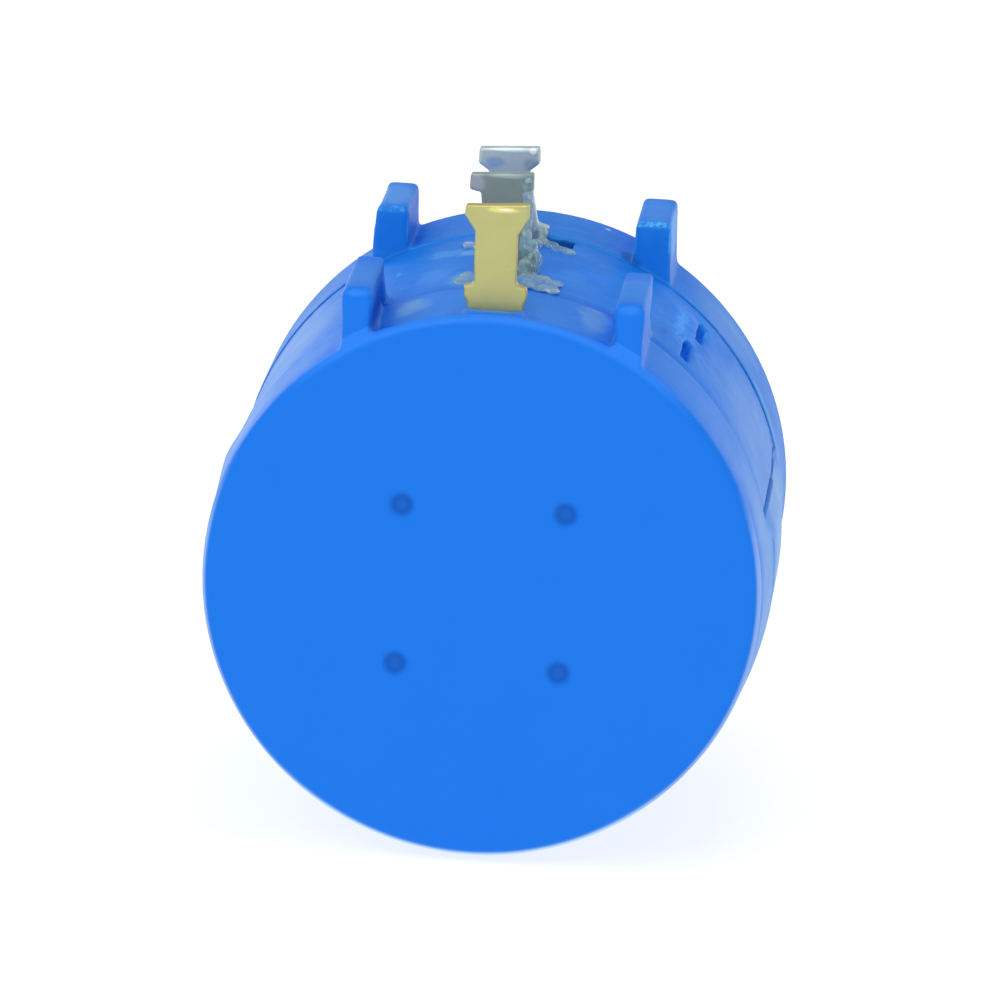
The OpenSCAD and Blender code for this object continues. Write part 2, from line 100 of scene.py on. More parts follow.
# Places that several pieces and their paint share, in millimetres
REAR_Y = -19.05  # rear face
COVER_Y = -14.1  # joint between the cover and the coil housing
SEAM_Y = -4.74  # joint between the coil housing and the front ring
SHELL_Z = 3.0  # upper edge of the front housing's lower shell
EAR_X = 5.34  # middle of each ear
EAR_Z = 11.87  # top of the front ears
MARK_AT = 3.23  # offset of each round mark from the shaft's axis, both ways

Colour = tuple[float, float, float]
Point = tuple[float, float, float]
Socket = bpy.types.NodeSocket
Mesh = bpy.types.Mesh
Node = bpy.types.Node
Piece = bpy.types.Object


class Body(Enum):
    """The rigid bodies that new pieces ride on."""

    HOUSING = "housing"


# --- Shader graphs ---


class Graph:
    """Short calls that add and join the nodes of one shader tree."""

    def __init__(self, tree: bpy.types.NodeTree) -> None:
        """Works on the given tree."""
        self.tree = tree

    def node(self, kind: str, inputs: dict[Any, Any] | None = None, **settings: Any) -> Node:
        """Adds one node.

        Args:
            kind: Blender's name of the node type.
            inputs: Socket name or number to the value or socket that feeds it.
            settings: Attributes of the node.

        Returns:
            The new node.
        """
        made = self.tree.nodes.new(kind)
        for name, value in settings.items():
            setattr(made, name, value)
        self.fill(made, inputs or {})
        return made

    def fill(self, node: Node, inputs: dict[Any, Any]) -> None:
        """Links each named input of a node to a socket, or sets its value."""
        for name, value in inputs.items():
            socket = node.inputs[name]
            if isinstance(value, Socket):
                self.tree.links.new(value, socket)
            else:
                socket.default_value = (*value, 1.0) if socket.type == "RGBA" else value

    def math(self, operation: str, *values: Any, clamp: bool = False) -> Socket:
        """Result of one arithmetic step on numbers or sockets."""
        inputs = dict(enumerate(values))
        return self.node("ShaderNodeMath", inputs, operation=operation, use_clamp=clamp).outputs[0]

    def add(self, *values: Any) -> Socket:
        """Sum of numbers and sockets."""
        return reduce(partial(self.math, "ADD"), values)

    def sub(self, first: Any, second: Any) -> Socket:
        """Difference of two numbers or sockets."""
        return self.math("SUBTRACT", first, second)

    def mul(self, *values: Any) -> Socket:
        """Product of numbers and sockets."""
        return reduce(partial(self.math, "MULTIPLY"), values)

    def vector(self, operation: str, *values: Any) -> Socket:
        """Vector result of one vector step, or its length."""
        made = self.node("ShaderNodeVectorMath", dict(enumerate(values)), operation=operation)
        return made.outputs["Value" if operation == "LENGTH" else "Vector"]

    def blend(self, share: Any, first: Any, second: Any) -> Socket:
        """Colour between the first (share 0) and the second (share 1)."""
        inputs = {0: share, 6: first, 7: second}
        return self.node("ShaderNodeMix", inputs, data_type="RGBA", clamp_factor=True).outputs[2]

    def span(self, value: Any, low: Any, high: Any, start: float = 0.0, end: float = 1.0) -> Socket:
        """Maps low..high smoothly to start..end."""
        names = ("Value", "From Min", "From Max", "To Min", "To Max")
        inputs = dict(zip(names, (value, low, high, start, end)))
        return self.node("ShaderNodeMapRange", inputs, interpolation_type="SMOOTHSTEP").outputs[0]

    def place(self) -> Socket:
        """Position on the object in the row frame, in metres."""
        return self.node("ShaderNodeTexCoord").outputs["Object"]

    def parts(self, vector: Socket) -> Any:
        """The x, y and z of a vector."""
        return self.node("ShaderNodeSeparateXYZ", {0: vector}).outputs

    def from_axis(self, parts: Any) -> Socket:
        """Distance of a place, given by its parts, from the shaft's axis."""
        return self.math("SQRT", self.add(*(self.math("POWER", parts[n], 2.0) for n in (0, 2))))

    def noise(self, scale: Any, detail: float, place: Any = None, rough: float = 0.55) -> Socket:
        """Fractal noise between 0 and 1 at a scale in cells per metre."""
        names = ("Vector", "Scale", "Detail", "Roughness")
        inputs = dict(zip(names, (place or self.place(), scale, detail, rough)))
        return self.node("ShaderNodeTexNoise", inputs).outputs[0]

    def cells(self, scale: Any) -> Any:
        """Outputs of a pattern of round cells at a scale in cells per metre."""
        return self.node("ShaderNodeTexVoronoi", {"Vector": self.place(), "Scale": scale}).outputs

    def bump(self, height: Socket, depth_mm: float) -> Socket:
        """Normal of a surface with a height between 0 and 1 and a depth in millimetres."""
        inputs = {"Height": height, "Distance": depth_mm * MM, "Strength": 1.0}
        return self.node("ShaderNodeBump", inputs).outputs[0]


class Effect(Enum):
    """Shared surface effects, each one shader node group with these inputs."""

    MOTTLE = ("surface_mottle", {"Scale": 400.0, "Contrast": 0.5})
    GRAIN = ("moulded_grain", {"Scale": 9000.0, "Depth": 1.0})
    WEAR = ("edge_wear", {"Edge": 0.54, "Scale": 2500.0, "Amount": 0.5})
    SPECKS = ("dust_specks", {"Scale": 1500.0, "Share": 0.05})
    PATCH = ("local_patch", {"Centre": (0.0, 0.0, 0.0), "Reach": (MM, MM, MM), "Ragged": 0.5,
                             "Grain": 1800.0})
    BAND = ("dark_seam", {"Along": 0.0, "Reach": 0.0001, "Floor": 0.0, "Fade": 0.002,
                          "Radius": 0.02})
    STREAKS = ("rubbed_streaks", {"Scale": 900.0, "Share": 0.4})
    SCRATCHES = ("fine_scratches", {"Scale": 300.0, "Share": 0.3})
    SIDES = ("blade_sides", {"Limit": 0.75})


class Effects:
    """Builds each shared effect once and places it in materials."""

    def __init__(self) -> None:
        """Starts with no effect built."""
        self._trees: dict[Effect, bpy.types.NodeTree] = {}

    def place(self, graph: Graph, effect: Effect, **values: Any) -> Socket:
        """Places an effect in a material.

        Args:
            graph: The material's graph.
            effect: Which effect to place.
            values: The effect's inputs, by name.

        Returns:
            The effect's output: a mask, height or value from 0 to 1.
        """
        if effect not in self._trees:
            self._trees[effect] = self._build(effect)
        inputs = {name.capitalize(): value for name, value in values.items()}
        return graph.node("ShaderNodeGroup", inputs, node_tree=self._trees[effect]).outputs[0]

    def _build(self, effect: Effect) -> bpy.types.NodeTree:
        """Makes the node group of one effect."""
        name, inputs = effect.value
        tree = bpy.data.node_groups.new(name, "ShaderNodeTree")
        add = tree.interface.new_socket
        for label, default in inputs.items():
            kind = "NodeSocketVector" if isinstance(default, tuple) else "NodeSocketFloat"
            add(name=label, in_out="INPUT", socket_type=kind).default_value = default
        add(name="Result", in_out="OUTPUT", socket_type="NodeSocketFloat")
        graph = Graph(tree)
        maker = getattr(self, f"_{effect.name.lower()}")
        graph.node("NodeGroupOutput", {0: maker(graph, graph.node("NodeGroupInput").outputs)})
        return tree

    @staticmethod
    def _mottle(graph: Graph, given: Any) -> Socket:
        """Soft clouds in two sizes."""
        large = graph.noise(given["Scale"], 2.0)
        small = graph.noise(graph.mul(given["Scale"], 5.0), 4.0)
        both = graph.add(graph.mul(large, 0.65), graph.mul(small, 0.35))
        half = graph.mul(given["Contrast"], 0.35)
        return graph.span(both, graph.sub(0.5, half), graph.add(0.5, half))

    @staticmethod
    def _grain(graph: Graph, given: Any) -> Socket:
        """Fine pebbled texture of a moulded surface."""
        fine = graph.noise(given["Scale"], 5.0, rough=0.65)
        pits = graph.cells(given["Scale"])[0]
        return graph.mul(graph.add(fine, graph.mul(pits, 0.4)), given["Depth"])

    @staticmethod
    def _wear(graph: Graph, given: Any) -> Socket:
        """Broken line along outer edges: rubbed material, and on plastic also painted highlight."""
        sharp = graph.node("ShaderNodeNewGeometry").outputs["Pointiness"]
        edge = graph.span(sharp, given["Edge"], graph.add(given["Edge"], 0.05))
        broken = graph.span(graph.noise(given["Scale"], 4.0), 0.42, 0.66)
        return graph.math("MULTIPLY", graph.mul(edge, broken), given["Amount"], clamp=True)

    @staticmethod
    def _specks(graph: Graph, given: Any) -> Socket:
        """Scattered dots of dust or tiny pits."""
        cells = graph.cells(given["Scale"])
        draw = graph.node("ShaderNodeSeparateColor", {0: cells["Color"]}).outputs[0]
        chosen = graph.math("LESS_THAN", draw, given["Share"])
        return graph.mul(graph.span(cells["Distance"], 0.22, 0.08), chosen)

    @staticmethod
    def _patch(graph: Graph, given: Any) -> Socket:
        """Ragged spot round a point."""
        offset = graph.vector("SUBTRACT", graph.place(), given["Centre"])
        away = graph.vector("LENGTH", graph.vector("DIVIDE", offset, given["Reach"]))
        wobble = graph.mul(graph.sub(graph.noise(given["Grain"], 4.0), 0.5), given["Ragged"])
        return graph.span(graph.add(away, wobble), 1.05, 0.45)

    @staticmethod
    def _band(graph: Graph, given: Any) -> Socket:
        """Line round the body at one place along the shaft, above a level."""
        parts = graph.parts(graph.place())
        away = graph.math("ABSOLUTE", graph.sub(parts[1], given["Along"]))
        near = graph.span(graph.math("DIVIDE", away, given["Reach"]), 1.0, 0.55)
        above = graph.span(parts[2], given["Floor"], graph.add(given["Floor"], given["Fade"]))
        inside = graph.math("LESS_THAN", graph.from_axis(parts), given["Radius"])
        return graph.mul(near, above, inside)

    @staticmethod
    def _streaks(graph: Graph, given: Any) -> Socket:
        """Soft smears drawn out round the body."""
        drawn = graph.vector("MULTIPLY", graph.place(), (0.45, 1.6, 0.45))
        low = graph.sub(0.66, graph.mul(given["Share"], 0.3))
        return graph.span(graph.noise(given["Scale"], 4.0, drawn, 0.6), low, graph.add(low, 0.16))

    @staticmethod
    def _scratches(graph: Graph, given: Any) -> Socket:
        """Thin lines that run in slightly different directions."""
        drawn = graph.vector("MULTIPLY", graph.place(), (1.0, 0.12, 1.0))
        low = graph.sub(0.78, graph.mul(given["Share"], 0.2))
        return graph.span(graph.noise(given["Scale"], 6.0, drawn, 0.8), low, 0.8)

    @staticmethod
    def _sides(graph: Graph, given: Any) -> Socket:
        """Faces that look sideways or up and down, not along the shaft, for painted side light."""
        facing = graph.node("ShaderNodeTexCoord").outputs["Normal"]
        along = graph.math("ABSOLUTE", graph.parts(facing)[1])
        return graph.span(along, given["Limit"], graph.sub(given["Limit"], 0.35))


EFFECTS = Effects()


# --- Finishes ---


@dataclass(frozen=True)
class Patch:
    """A spot whose colour differs from the rest, placed in millimetres."""

    centre: Point
    reach: Point
    colour: Colour
    strength: float
    ragged: float = 0.6
    grain: float = 1800.0

    def mask(self, graph: Graph) -> Socket:
        """Where the spot lies, from 0 to 1."""
        centre, reach = (tuple(MM * v for v in values) for values in (self.centre, self.reach))
        return EFFECTS.place(graph, Effect.PATCH, centre=centre, reach=reach, ragged=self.ragged,
                             grain=self.grain)


# Used below for painted shade in joints and a crease, and for painted highlights and reflections
# along the rear rim.
@dataclass(frozen=True)
class PaintedBand:
    """A painted line round the body, placed along the shaft in millimetres, above or below a level.
    """

    along: float
    reach: float
    colour: Colour
    strength: float
    floor: float
    fade: float = 2.0
    radius: float = 11.35

    def mask(self, graph: Graph) -> Socket:
        """Where the line runs, from 0 to 1."""
        names = ("along", "reach", "floor", "fade", "radius")
        inputs = {name: getattr(self, name) * MM for name in names}
        return EFFECTS.place(graph, Effect.BAND, **inputs)


def painted(graph: Graph, colour: Any, marks: Iterable[Patch | PaintedBand]) -> Any:
    """Lays each mark over the colour and returns the result."""
    for mark in marks:
        colour = graph.blend(graph.mul(mark.mask(graph), mark.strength), colour, mark.colour)
    return colour


@dataclass(frozen=True)
class Finish:
    """A surface finish, which builds its own material."""

    name: str
    colour: Colour

    def material(self) -> bpy.types.Material:
        """Builds the material."""
        material = bpy.data.materials.new(self.name)
        material.use_nodes = True
        graph = Graph(material.node_tree)
        graph.fill(graph.tree.nodes["Principled BSDF"], self.look(graph))
        return material

    def look(self, graph: Graph) -> dict[str, Any]:
        """Inputs of the Principled shader, by name."""
        return {"Base Color": self.colour}


@dataclass(frozen=True)
class MouldedPlastic(Finish):
    """Plastic as it comes from the mould, slightly mottled, smeared and rubbed, with painted edge
    light.
    """

    deep: Colour
    # Colour of smears, and of edges, where it is edge wear and painted highlight together.
    rubbed: Colour
    rough: float = 0.5
    mottle: float = 0.35
    mottle_scale: float = 380.0
    smear: float = 0.0
    # Share of the rubbed colour on edges: edge wear and painted edge highlight together.
    wear: float = 0.35
    grain_mm: float = 0.004
    gloss: float = 0.15
    patches: tuple[Patch, ...] = ()
    seams: tuple[PaintedBand, ...] = ()

    def look(self, graph: Graph) -> dict[str, Any]:
        """Mottled and rubbed colour with painted edge highlight, under its painted bands and
        patches.
        """
        clouds = EFFECTS.place(graph, Effect.MOTTLE, scale=self.mottle_scale, contrast=0.8)
        colour = graph.blend(graph.mul(clouds, self.mottle), self.colour, self.deep)
        smears = EFFECTS.place(graph, Effect.STREAKS, scale=900.0, share=0.5)
        colour = graph.blend(graph.mul(smears, self.smear), colour, self.rubbed)
        # Rubbed colour on edges: edge wear and painted edge highlight.
        worn = EFFECTS.place(graph, Effect.WEAR, edge=0.545, scale=2600.0, amount=self.wear)
        colour = graph.blend(worn, colour, self.rubbed)
        grain = EFFECTS.place(graph, Effect.GRAIN, scale=7000.0, depth=1.0)
        return {
            "Base Color": painted(graph, colour, (*self.seams, *self.patches)),
            "Roughness": graph.add(graph.mul(graph.sub(clouds, 0.5), 0.16), self.rough),
            "Normal": graph.bump(graph.add(grain, clouds), self.grain_mm),
            "Specular IOR Level": self.gloss,
        }


@dataclass(frozen=True)
class PlatedMetal(Finish):
    """Stamped or drawn metal under a thin plating, with stains, tiny bright specks and painted side
    light.
    """

    stain: Colour
    bright: Colour
    rough: float = 0.32
    stained: float = 0.5
    stain_scale: float = 700.0
    metallic: float = 0.9
    speckle: float = 0.25
    edge: float = 0.8
    # Colour and share of painted light and shade on the faces that look sideways and up.
    sides: Colour = (0.3, 0.3, 0.3)
    side_share: float = 0.0
    patches: tuple[Patch, ...] = ()

    def look(self, graph: Graph) -> dict[str, Any]:
        """Stained plating with painted side light, worn edges, specks and fine scratches."""
        clouds = EFFECTS.place(graph, Effect.MOTTLE, scale=self.stain_scale, contrast=0.9)
        colour = graph.blend(graph.mul(clouds, self.stained), self.colour, self.stain)
        # Painted light and shade on the faces that look sideways and up.
        turned = EFFECTS.place(graph, Effect.SIDES, limit=0.8)
        colour = graph.blend(graph.mul(turned, self.side_share), colour, self.sides)
        colour = painted(graph, colour, self.patches)
        worn = EFFECTS.place(graph, Effect.WEAR, edge=0.54, scale=2200.0, amount=self.edge)
        specks = EFFECTS.place(graph, Effect.SPECKS, scale=3600.0, share=0.05)
        marked = graph.math("MAXIMUM", worn, graph.mul(specks, self.speckle))
        lines = EFFECTS.place(graph, Effect.SCRATCHES, scale=2400.0, share=0.4)
        grain = EFFECTS.place(graph, Effect.GRAIN, scale=9000.0, depth=0.6)
        return {
            "Base Color": graph.blend(marked, colour, self.bright),
            "Roughness": graph.add(graph.mul(clouds, 0.18), self.rough, graph.mul(lines, 0.1)),
            "Metallic": self.metallic,
            "Normal": graph.bump(graph.add(grain, graph.mul(lines, 0.6)), 0.003),
        }


@dataclass(frozen=True)
class TurnedMetal(Finish):
    """Metal turned on a lathe round the shaft's axis, with rings of fine tool marks."""

    rough: float = 0.24
    marks_per_mm: float = 14.0
    mark_depth_mm: float = 0.002

    def look(self, graph: Graph) -> dict[str, Any]:
        """Slightly dulled metal with rings round the axis."""
        parts = graph.parts(graph.place())
        around = {0: graph.from_axis(parts), 1: parts[1], 2: 0.0}
        place = graph.node("ShaderNodeCombineXYZ", around).outputs[0]
        rings = graph.noise(self.marks_per_mm / MM, 3.0, place, 0.7)
        clouds = EFFECTS.place(graph, Effect.MOTTLE, scale=260.0, contrast=0.8)
        dull = tuple(0.72 * c for c in self.colour)
        worn = EFFECTS.place(graph, Effect.WEAR, edge=0.54, scale=3000.0, amount=0.5)
        rough = graph.add(graph.mul(rings, 0.22), self.rough)
        return {
            "Base Color": graph.blend(graph.mul(clouds, 0.45), self.colour, dull),
            "Roughness": graph.sub(rough, graph.mul(worn, 0.1)),
            "Metallic": 1.0,
            "Normal": graph.bump(rings, self.mark_depth_mm),
        }


@dataclass(frozen=True)
class WoundWire(Finish):
    """Fine enamelled wire wound closely round a core that follows the helix."""

    gap_colour: Colour
    turns_per_lap: float = 420.0

    def look(self, graph: Graph) -> dict[str, Any]:
        """Ridges of wire with painted shade in the gaps between them."""
        parts = graph.parts(graph.place())
        angle = graph.math("ARCTAN2", parts[0], parts[2])
        ridge = graph.math("ABSOLUTE", graph.math("SINE", graph.mul(angle, self.turns_per_lap)))
        height = graph.math("POWER", ridge, 0.6)
        clouds = EFFECTS.place(graph, Effect.MOTTLE, scale=900.0, contrast=0.6)
        shade = graph.mul(height, graph.add(graph.mul(clouds, 0.4), 0.6))
        return {
            "Base Color": graph.blend(shade, self.gap_colour, self.colour),
            "Roughness": graph.span(clouds, 0.0, 1.0, 0.25, 0.45),
            "Metallic": 0.85,
            "Normal": graph.bump(height, 0.02),
        }


@dataclass(frozen=True)
class ClearResin(Finish):
    """Clear resin with milky clouds, bubbles, a glossy skin and painted glints."""

    milk: Colour
    thin: float = 0.25
    thick: float = 0.7
    patches: tuple[Patch, ...] = ()

    def look(self, graph: Graph) -> dict[str, Any]:
        """Cloudy colour that is thinnest where it is clearest, under painted glints."""
        clouds = EFFECTS.place(graph, Effect.MOTTLE, scale=1100.0, contrast=0.9)
        bubbles = EFFECTS.place(graph, Effect.SPECKS, scale=3600.0, share=0.3)
        cloudy = graph.math("MAXIMUM", graph.mul(clouds, 0.8), bubbles)
        body = graph.span(clouds, 0.0, 1.0, self.thin, self.thick)
        return {
            "Base Color": painted(graph, graph.blend(cloudy, self.colour, self.milk), self.patches),
            "Alpha": graph.math("MAXIMUM", body, bubbles),
            "Roughness": graph.span(clouds, 0.0, 1.0, 0.05, 0.16),
            "IOR": 1.6,
            "Normal": graph.bump(bubbles, 0.02),
        }


@dataclass(frozen=True)
class Paper(Finish):
    """Matt studio paper with a faint glow of its own."""

    glow_colour: Colour
    glow: float

    def look(self, graph: Graph) -> dict[str, Any]:
        """Very faintly clouded paper."""
        clouds = EFFECTS.place(graph, Effect.MOTTLE, scale=14.0, contrast=0.4)
        return {
            "Base Color": graph.blend(clouds, self.colour, tuple(0.985 * c for c in self.colour)),
            "Roughness": 0.9,
            "Specular IOR Level": 0.1,
            "Emission Color": self.glow_colour,
            "Emission Strength": self.glow,
        }


class Shade:
    """Plain colours that several finishes share, most of them for painted light and shade."""

    RUBBED: Colour = (0.05, 0.32, 0.92)
    SKY: Colour = (0.06, 0.42, 0.95)
    # Dark blue for painted shade.
    NAVY: Colour = (0.006, 0.06, 0.3)
    # Whitish blue for painted sheen at grazing angles.
    HAZE: Colour = (0.52, 0.76, 0.82)
    # White for painted highlights and glints.
    WHITE: Colour = (1.0, 1.0, 1.0)


class Stock:
    """All finishes of the potentiometer, by what they cover."""

    COVER = MouldedPlastic(
        "cover_plastic", (0.006, 0.188, 0.82), (0.003, 0.15, 0.72), Shade.RUBBED, mottle=0.12,
        wear=0,
        seams=(
            # Painted highlight along the rear rim's upper part, and painted reflection of the pale
            # floor along its lower sides and bottom.
            PaintedBand(-18.84, 0.2, (0.03, 0.25, 0.96), 0.7, 7),
            PaintedBand(-18.72, 0.26, (0.3, 0.5, 0.92), 0.8, 5, -4),
            PaintedBand(-18.72, 0.3, (0.55, 0.8, 1), 0.75, -7, -3),
        ),
        patches=(
            # Painted sheen: lighter blue over the barrel, whiter on the left and right sides.
            Patch((0, -16.2, 0), (60, 2.4, 60), (0.045, 0.26, 0.8), 0.6, 0.1),
            Patch((-11.3, -16.2, 3), (3.5, 2.5, 10), Shade.HAZE, 0.2, 0.3, 500),
            Patch((11.3, -16.2, -3.5), (3.5, 2.5, 11), Shade.HAZE, 0.24, 0.3, 500),
            Patch((-3.6, -15.6, 10.5), (1, 1.2, 0.7), (0.2, 0.45, 0.72), 0.6, 1.4, 900),
            # Painted shade on the near-left ear's inner side.
            Patch((-4.8, -16, 10.5), (0.16, 3.2, 1.3), (0, 0.085, 0.6), 0.9, 0.3),
            # Painted highlight along the left post's inner edge.
            Patch((-4.75, -13.1, 10.7), (0.3, 0.28, 1.2), (0.03, 0.4, 1), 0.95, 0.3),
            Patch((3.8, -15.5, 10.4), (0.9, 1.6, 0.7), (0.16, 0.4, 0.76), 0.65, 1.6, 1400),
            Patch((4.3, -15, 10.3), (0.3, 0.5, 0.4), Shade.SKY, 0.5, 1.8, 3000),
            # Painted shade in the recess's corners by the ears, and in the pockets beside the gold
            # terminal's foot.
            Patch((-4.5, -17.6, 10), (0.6, 1, 0.6), (0, 0.09, 0.6), 0.6, 0.8),
            Patch((4.6, -17.9, 10), (0.4, 0.5, 0.6), Shade.NAVY, 0.45, 0.8),
            Patch((1.75, -17.4, 10.9), (0.65, 0.4, 0.4), (0.003, 0.13, 0.7), 0.6, 0.9),
            Patch((-1.75, -17.5, 10.9), (0.6, 0.4, 0.4), (0.003, 0.13, 0.7), 0.5, 0.9),
            # Painted highlights on the rim under the gold terminal and along the near ears' top
            # edges.
            Patch((0, -17.95, 11), (1.25, 0.35, 0.4), (0.12, 0.36, 0.9), 0.5, 0.5),
            Patch((-EAR_X, -18.6, 11.55), (0.6, 0.5, 0.2), (0.03, 0.26, 0.95), 0.6, 0.4),
            Patch((EAR_X, -18.6, 11.5), (0.6, 0.5, 0.25), (0.03, 0.26, 0.95), 0.6, 0.4),
            # Painted shade in the grooves of the four round marks.
            *(Patch((MARK_AT * side, -18.95, MARK_AT * level), reach, colour, share, 0.15)
              for side in (-1, 1) for level in (-1, 1)
              for reach, colour, share in (((0.6, 0.6, 0.6), (0, 0.08, 0.45), 0.8),
                                           ((0.28, 0.6, 0.28), (0.004, 0.13, 0.6), 0.7))),
        ),
    )
    COIL_HOUSING = MouldedPlastic(
        "coil_housing_plastic", (0.008, 0.21, 0.8), (0.004, 0.165, 0.74), (0.05, 0.33, 0.86),
        # wear lays the rubbed colour on edges: edge wear and painted edge highlight together.
        mottle=0.6, mottle_scale=430, smear=0.1, wear=0.3,
        patches=(
            # Painted sheen on the left and right sides.
            Patch((-9.5, -9.5, 5.5), (4, 6.5, 7), Shade.HAZE, 0.18, 0.3, 500),
            Patch((10.3, -9.5, 2.5), (3.2, 6.5, 7), Shade.HAZE, 0.14, 0.3, 500),
            # Painted highlight on the lit sides of the side notches, and darker blue at the rear
            # notch.
            Patch((6.9, -8, 8.5), (0.6, 3.2, 0.8), (0.01, 0.22, 0.95), 0.8, 3, 4500),
            Patch((6.85, -8.4, 8.6), (0.25, 2.6, 0.5), Shade.SKY, 0.55, 4, 6500),
            Patch((7.75, -6.6, 7.85), (0.1, 0.7, 0.35), Shade.SKY, 0.5, 1.6, 5000),
            Patch((6.3, -11.6, 9), (0.25, 0.6, 0.3), (0.004, 0.12, 0.7), 0.7, 0.9),
            # Painted highlight along the step at the rear joint.
            Patch((-3.9, -14.12, 10.35), (0.9, 0.14, 0.4), Shade.SKY, 0.75, 0.8),
            Patch((-4.6, -8.9, 10.2), (0.2, 0.4, 0.3), (0.12, 0.45, 0.9), 0.8, 0.9),
            Patch((-2.9, -7.3, 10.6), (0.9, 0.9, 0.5), (0.1, 0.4, 0.92), 0.45, 2, 1600),
            Patch((3.2, -9, 10.5), (1, 1.2, 0.5), (0.01, 0.2, 0.95), 0.5, 2.2, 1600),
            # Painted highlights along the left post's inner edge and the rear joint's step on the
            # right.
            Patch((-4.8, -13.1, 10.4), (0.3, 0.4, 1.1), (0.03, 0.4, 1), 0.95, 0.3),
            Patch((3.4, -14.12, 10.5), (0.8, 0.14, 0.25), Shade.SKY, 0.6, 0.8),
            Patch((2.6, -6.3, 10.75), (0.5, 0.35, 0.3), (0.02, 0.24, 0.95), 0.7, 1.2),
            # Painted shade in the slot by the front joint.
            Patch((1.7, -4.95, 10.75), (0.8, 0.4, 0.3), (0.004, 0.09, 0.42), 0.8, 1.4, 4000),
            Patch((-3, -11.3, 10.6), (0.9, 1.6, 0.4), (0.06, 0.32, 0.9), 0.4, 1.2),
            Patch((2.6, -10.2, 10.8), (0.8, 1.2, 0.4), (0.05, 0.27, 0.86), 0.35, 1.2),
            Patch((-1.7, -12.4, 10.9), (0.75, 1.5, 0.4), (0.12, 0.42, 0.75), 0.55, 1.2),
            Patch((-1.9, -7.8, 10.9), (0.55, 0.6, 0.4), (0.2, 0.5, 0.85), 0.45, 1),
        ),
        seams=(
            # Painted shade inside the front joint, and in the crease beside the rear joint.
            PaintedBand(-4.85, 0.03, Shade.NAVY, 0.5, 2.2),
            PaintedBand(COVER_Y, 0.45, (0.004, 0.1, 0.5), 0.32, 3.5, 2.5),
        ),
    )
    FRONT = MouldedPlastic(
        "front_housing_plastic", (0.007, 0.2, 0.75), (0.004, 0.165, 0.7), (0.04, 0.34, 0.9),
        smear=0.2,
        patches=(
            # Painted sheen on the sides and high on the right.
            Patch((11.2, -8.5, -3), (3, 8.5, 8), (0.44, 0.7, 0.92), 0.42, 0.3, 500),
            Patch((-11.2, -8.5, -3), (3, 8, 8), Shade.HAZE, 0.18, 0.3, 500),
            Patch((8.6, -2.4, 7.3), (2.6, 3, 2.6), Shade.HAZE, 0.1, 0.3, 500),
            # Painted highlights along the ears' rear top edges and vertical edges, and painted
            # sheen on the right ear's outer side.
            Patch((EAR_X, SEAM_Y, 11.9), (1.6, 0.28, 0.27), (0.1, 0.52, 1), 0.9, 2.4, 5200),
            Patch((-EAR_X, SEAM_Y, 11.9), (1.6, 0.24, 0.22), Shade.SKY, 0.5, 2.6, 5200),
            *(Patch((x, -4.78, 11.2), (0.07, 0.2, 0.9), Shade.SKY, 0.7, 0.6, 4200)
              for x in (-6.03, -4.65, 4.65, 6.03)),
            Patch((6.1, -2.4, 11.1), (0.2, 2.6, 1.3), (0.2, 0.5, 1), 0.55, 0.5),
            # Painted shade beside the ears' feet.
            Patch((4.5, -4.1, 10.15), (0.7, 1, 0.5), (0.004, 0.1, 0.42), 0.7, 0.8),
            Patch((-4.3, -3.4, 10.15), (0.5, 1.2, 0.4), (0.002, 0.1, 0.55), 0.5, 0.8),
            # Painted shade in the slot by the joint.
            Patch((1.7, SEAM_Y, 10.72), (0.8, 0.12, 0.3), (0.004, 0.09, 0.42), 0.9, 1, 4000),
            Patch((10.3, -4.3, 4.2), (1.2, 0.5, 3.2), (0.1, 0.42, 0.85), 0.4, 1),
            # Painted light on the ears' tops.
            Patch((EAR_X, -2.4, EAR_Z), (0.9, 2.6, 0.3), (0.1, 0.32, 0.88), 0.3, 0.5),
            Patch((-EAR_X, -2.4, EAR_Z), (0.9, 2.6, 0.3), (0.13, 0.38, 0.88), 0.45, 0.5),
            # Painted shadow along the shell's step on the right.
            Patch((10.7, -6.5, 2.5), (0.8, 1.7, 0.2), (0, 0.11, 0.5), 0.8, 0.2),
            Patch((10.8, -9.6, 2.32), (0.8, 3.4, 0.15), (0, 0.12, 0.55), 0.7, 0.3),
            Patch((11.1, -8.1, 1.5), (0.6, 0.22, 1.2), (0, 0.05, 0.35), 0.8, 0.3),
            Patch((3.3, -1.05, 10.63), (0.17, 0.13, 0.2), (0.5, 0.75, 0.85), 0.8, 0.9, 3600),
        ),
        seams=(
            # Painted shade on the ring's rear wall inside the joint, then lighter blue on that wall
            # near the top.
            PaintedBand(-4.73, 0.035, Shade.NAVY, 0.6, 2.2, 0.5, 11.16),
            PaintedBand(-4.73, 0.06, (0.02, 0.3, 0.85), 0.7, 8.6, 0.8, 11.2),
        ),
    )
    TIN = PlatedMetal(
        "tin_plating", (0.54, 0.62, 0.62), (0.42, 0.52, 0.6), (0.85, 0.97, 1), rough=0.36,
        # sides and side_share: painted light on the faces that look sideways and up.
        stained=0.8, stain_scale=600, metallic=0.7, edge=0, sides=(0.62, 0.72, 0.72),
        side_share=0.5,
        patches=(
            # Painted highlight on the top's rounded edge.
            Patch((0.33, -4.95, 14.58), (0.2, 0.4, 0.16), Shade.WHITE, 1),
            Patch((0.35, -4.95, 14), (0.5, 0.4, 0.35), (0.26, 0.4, 0.44), 0.7, 0.9),
            Patch((-1.2, -4.95, 14.05), (0.5, 0.4, 0.3), (0.2, 0.38, 0.62), 0.7, 0.9),
            # Painted reflection along the top edge.
            Patch((-0.6, -4.95, 14.6), (1.1, 0.4, 0.12), (0.75, 0.95, 1), 0.7),
        ),
    )
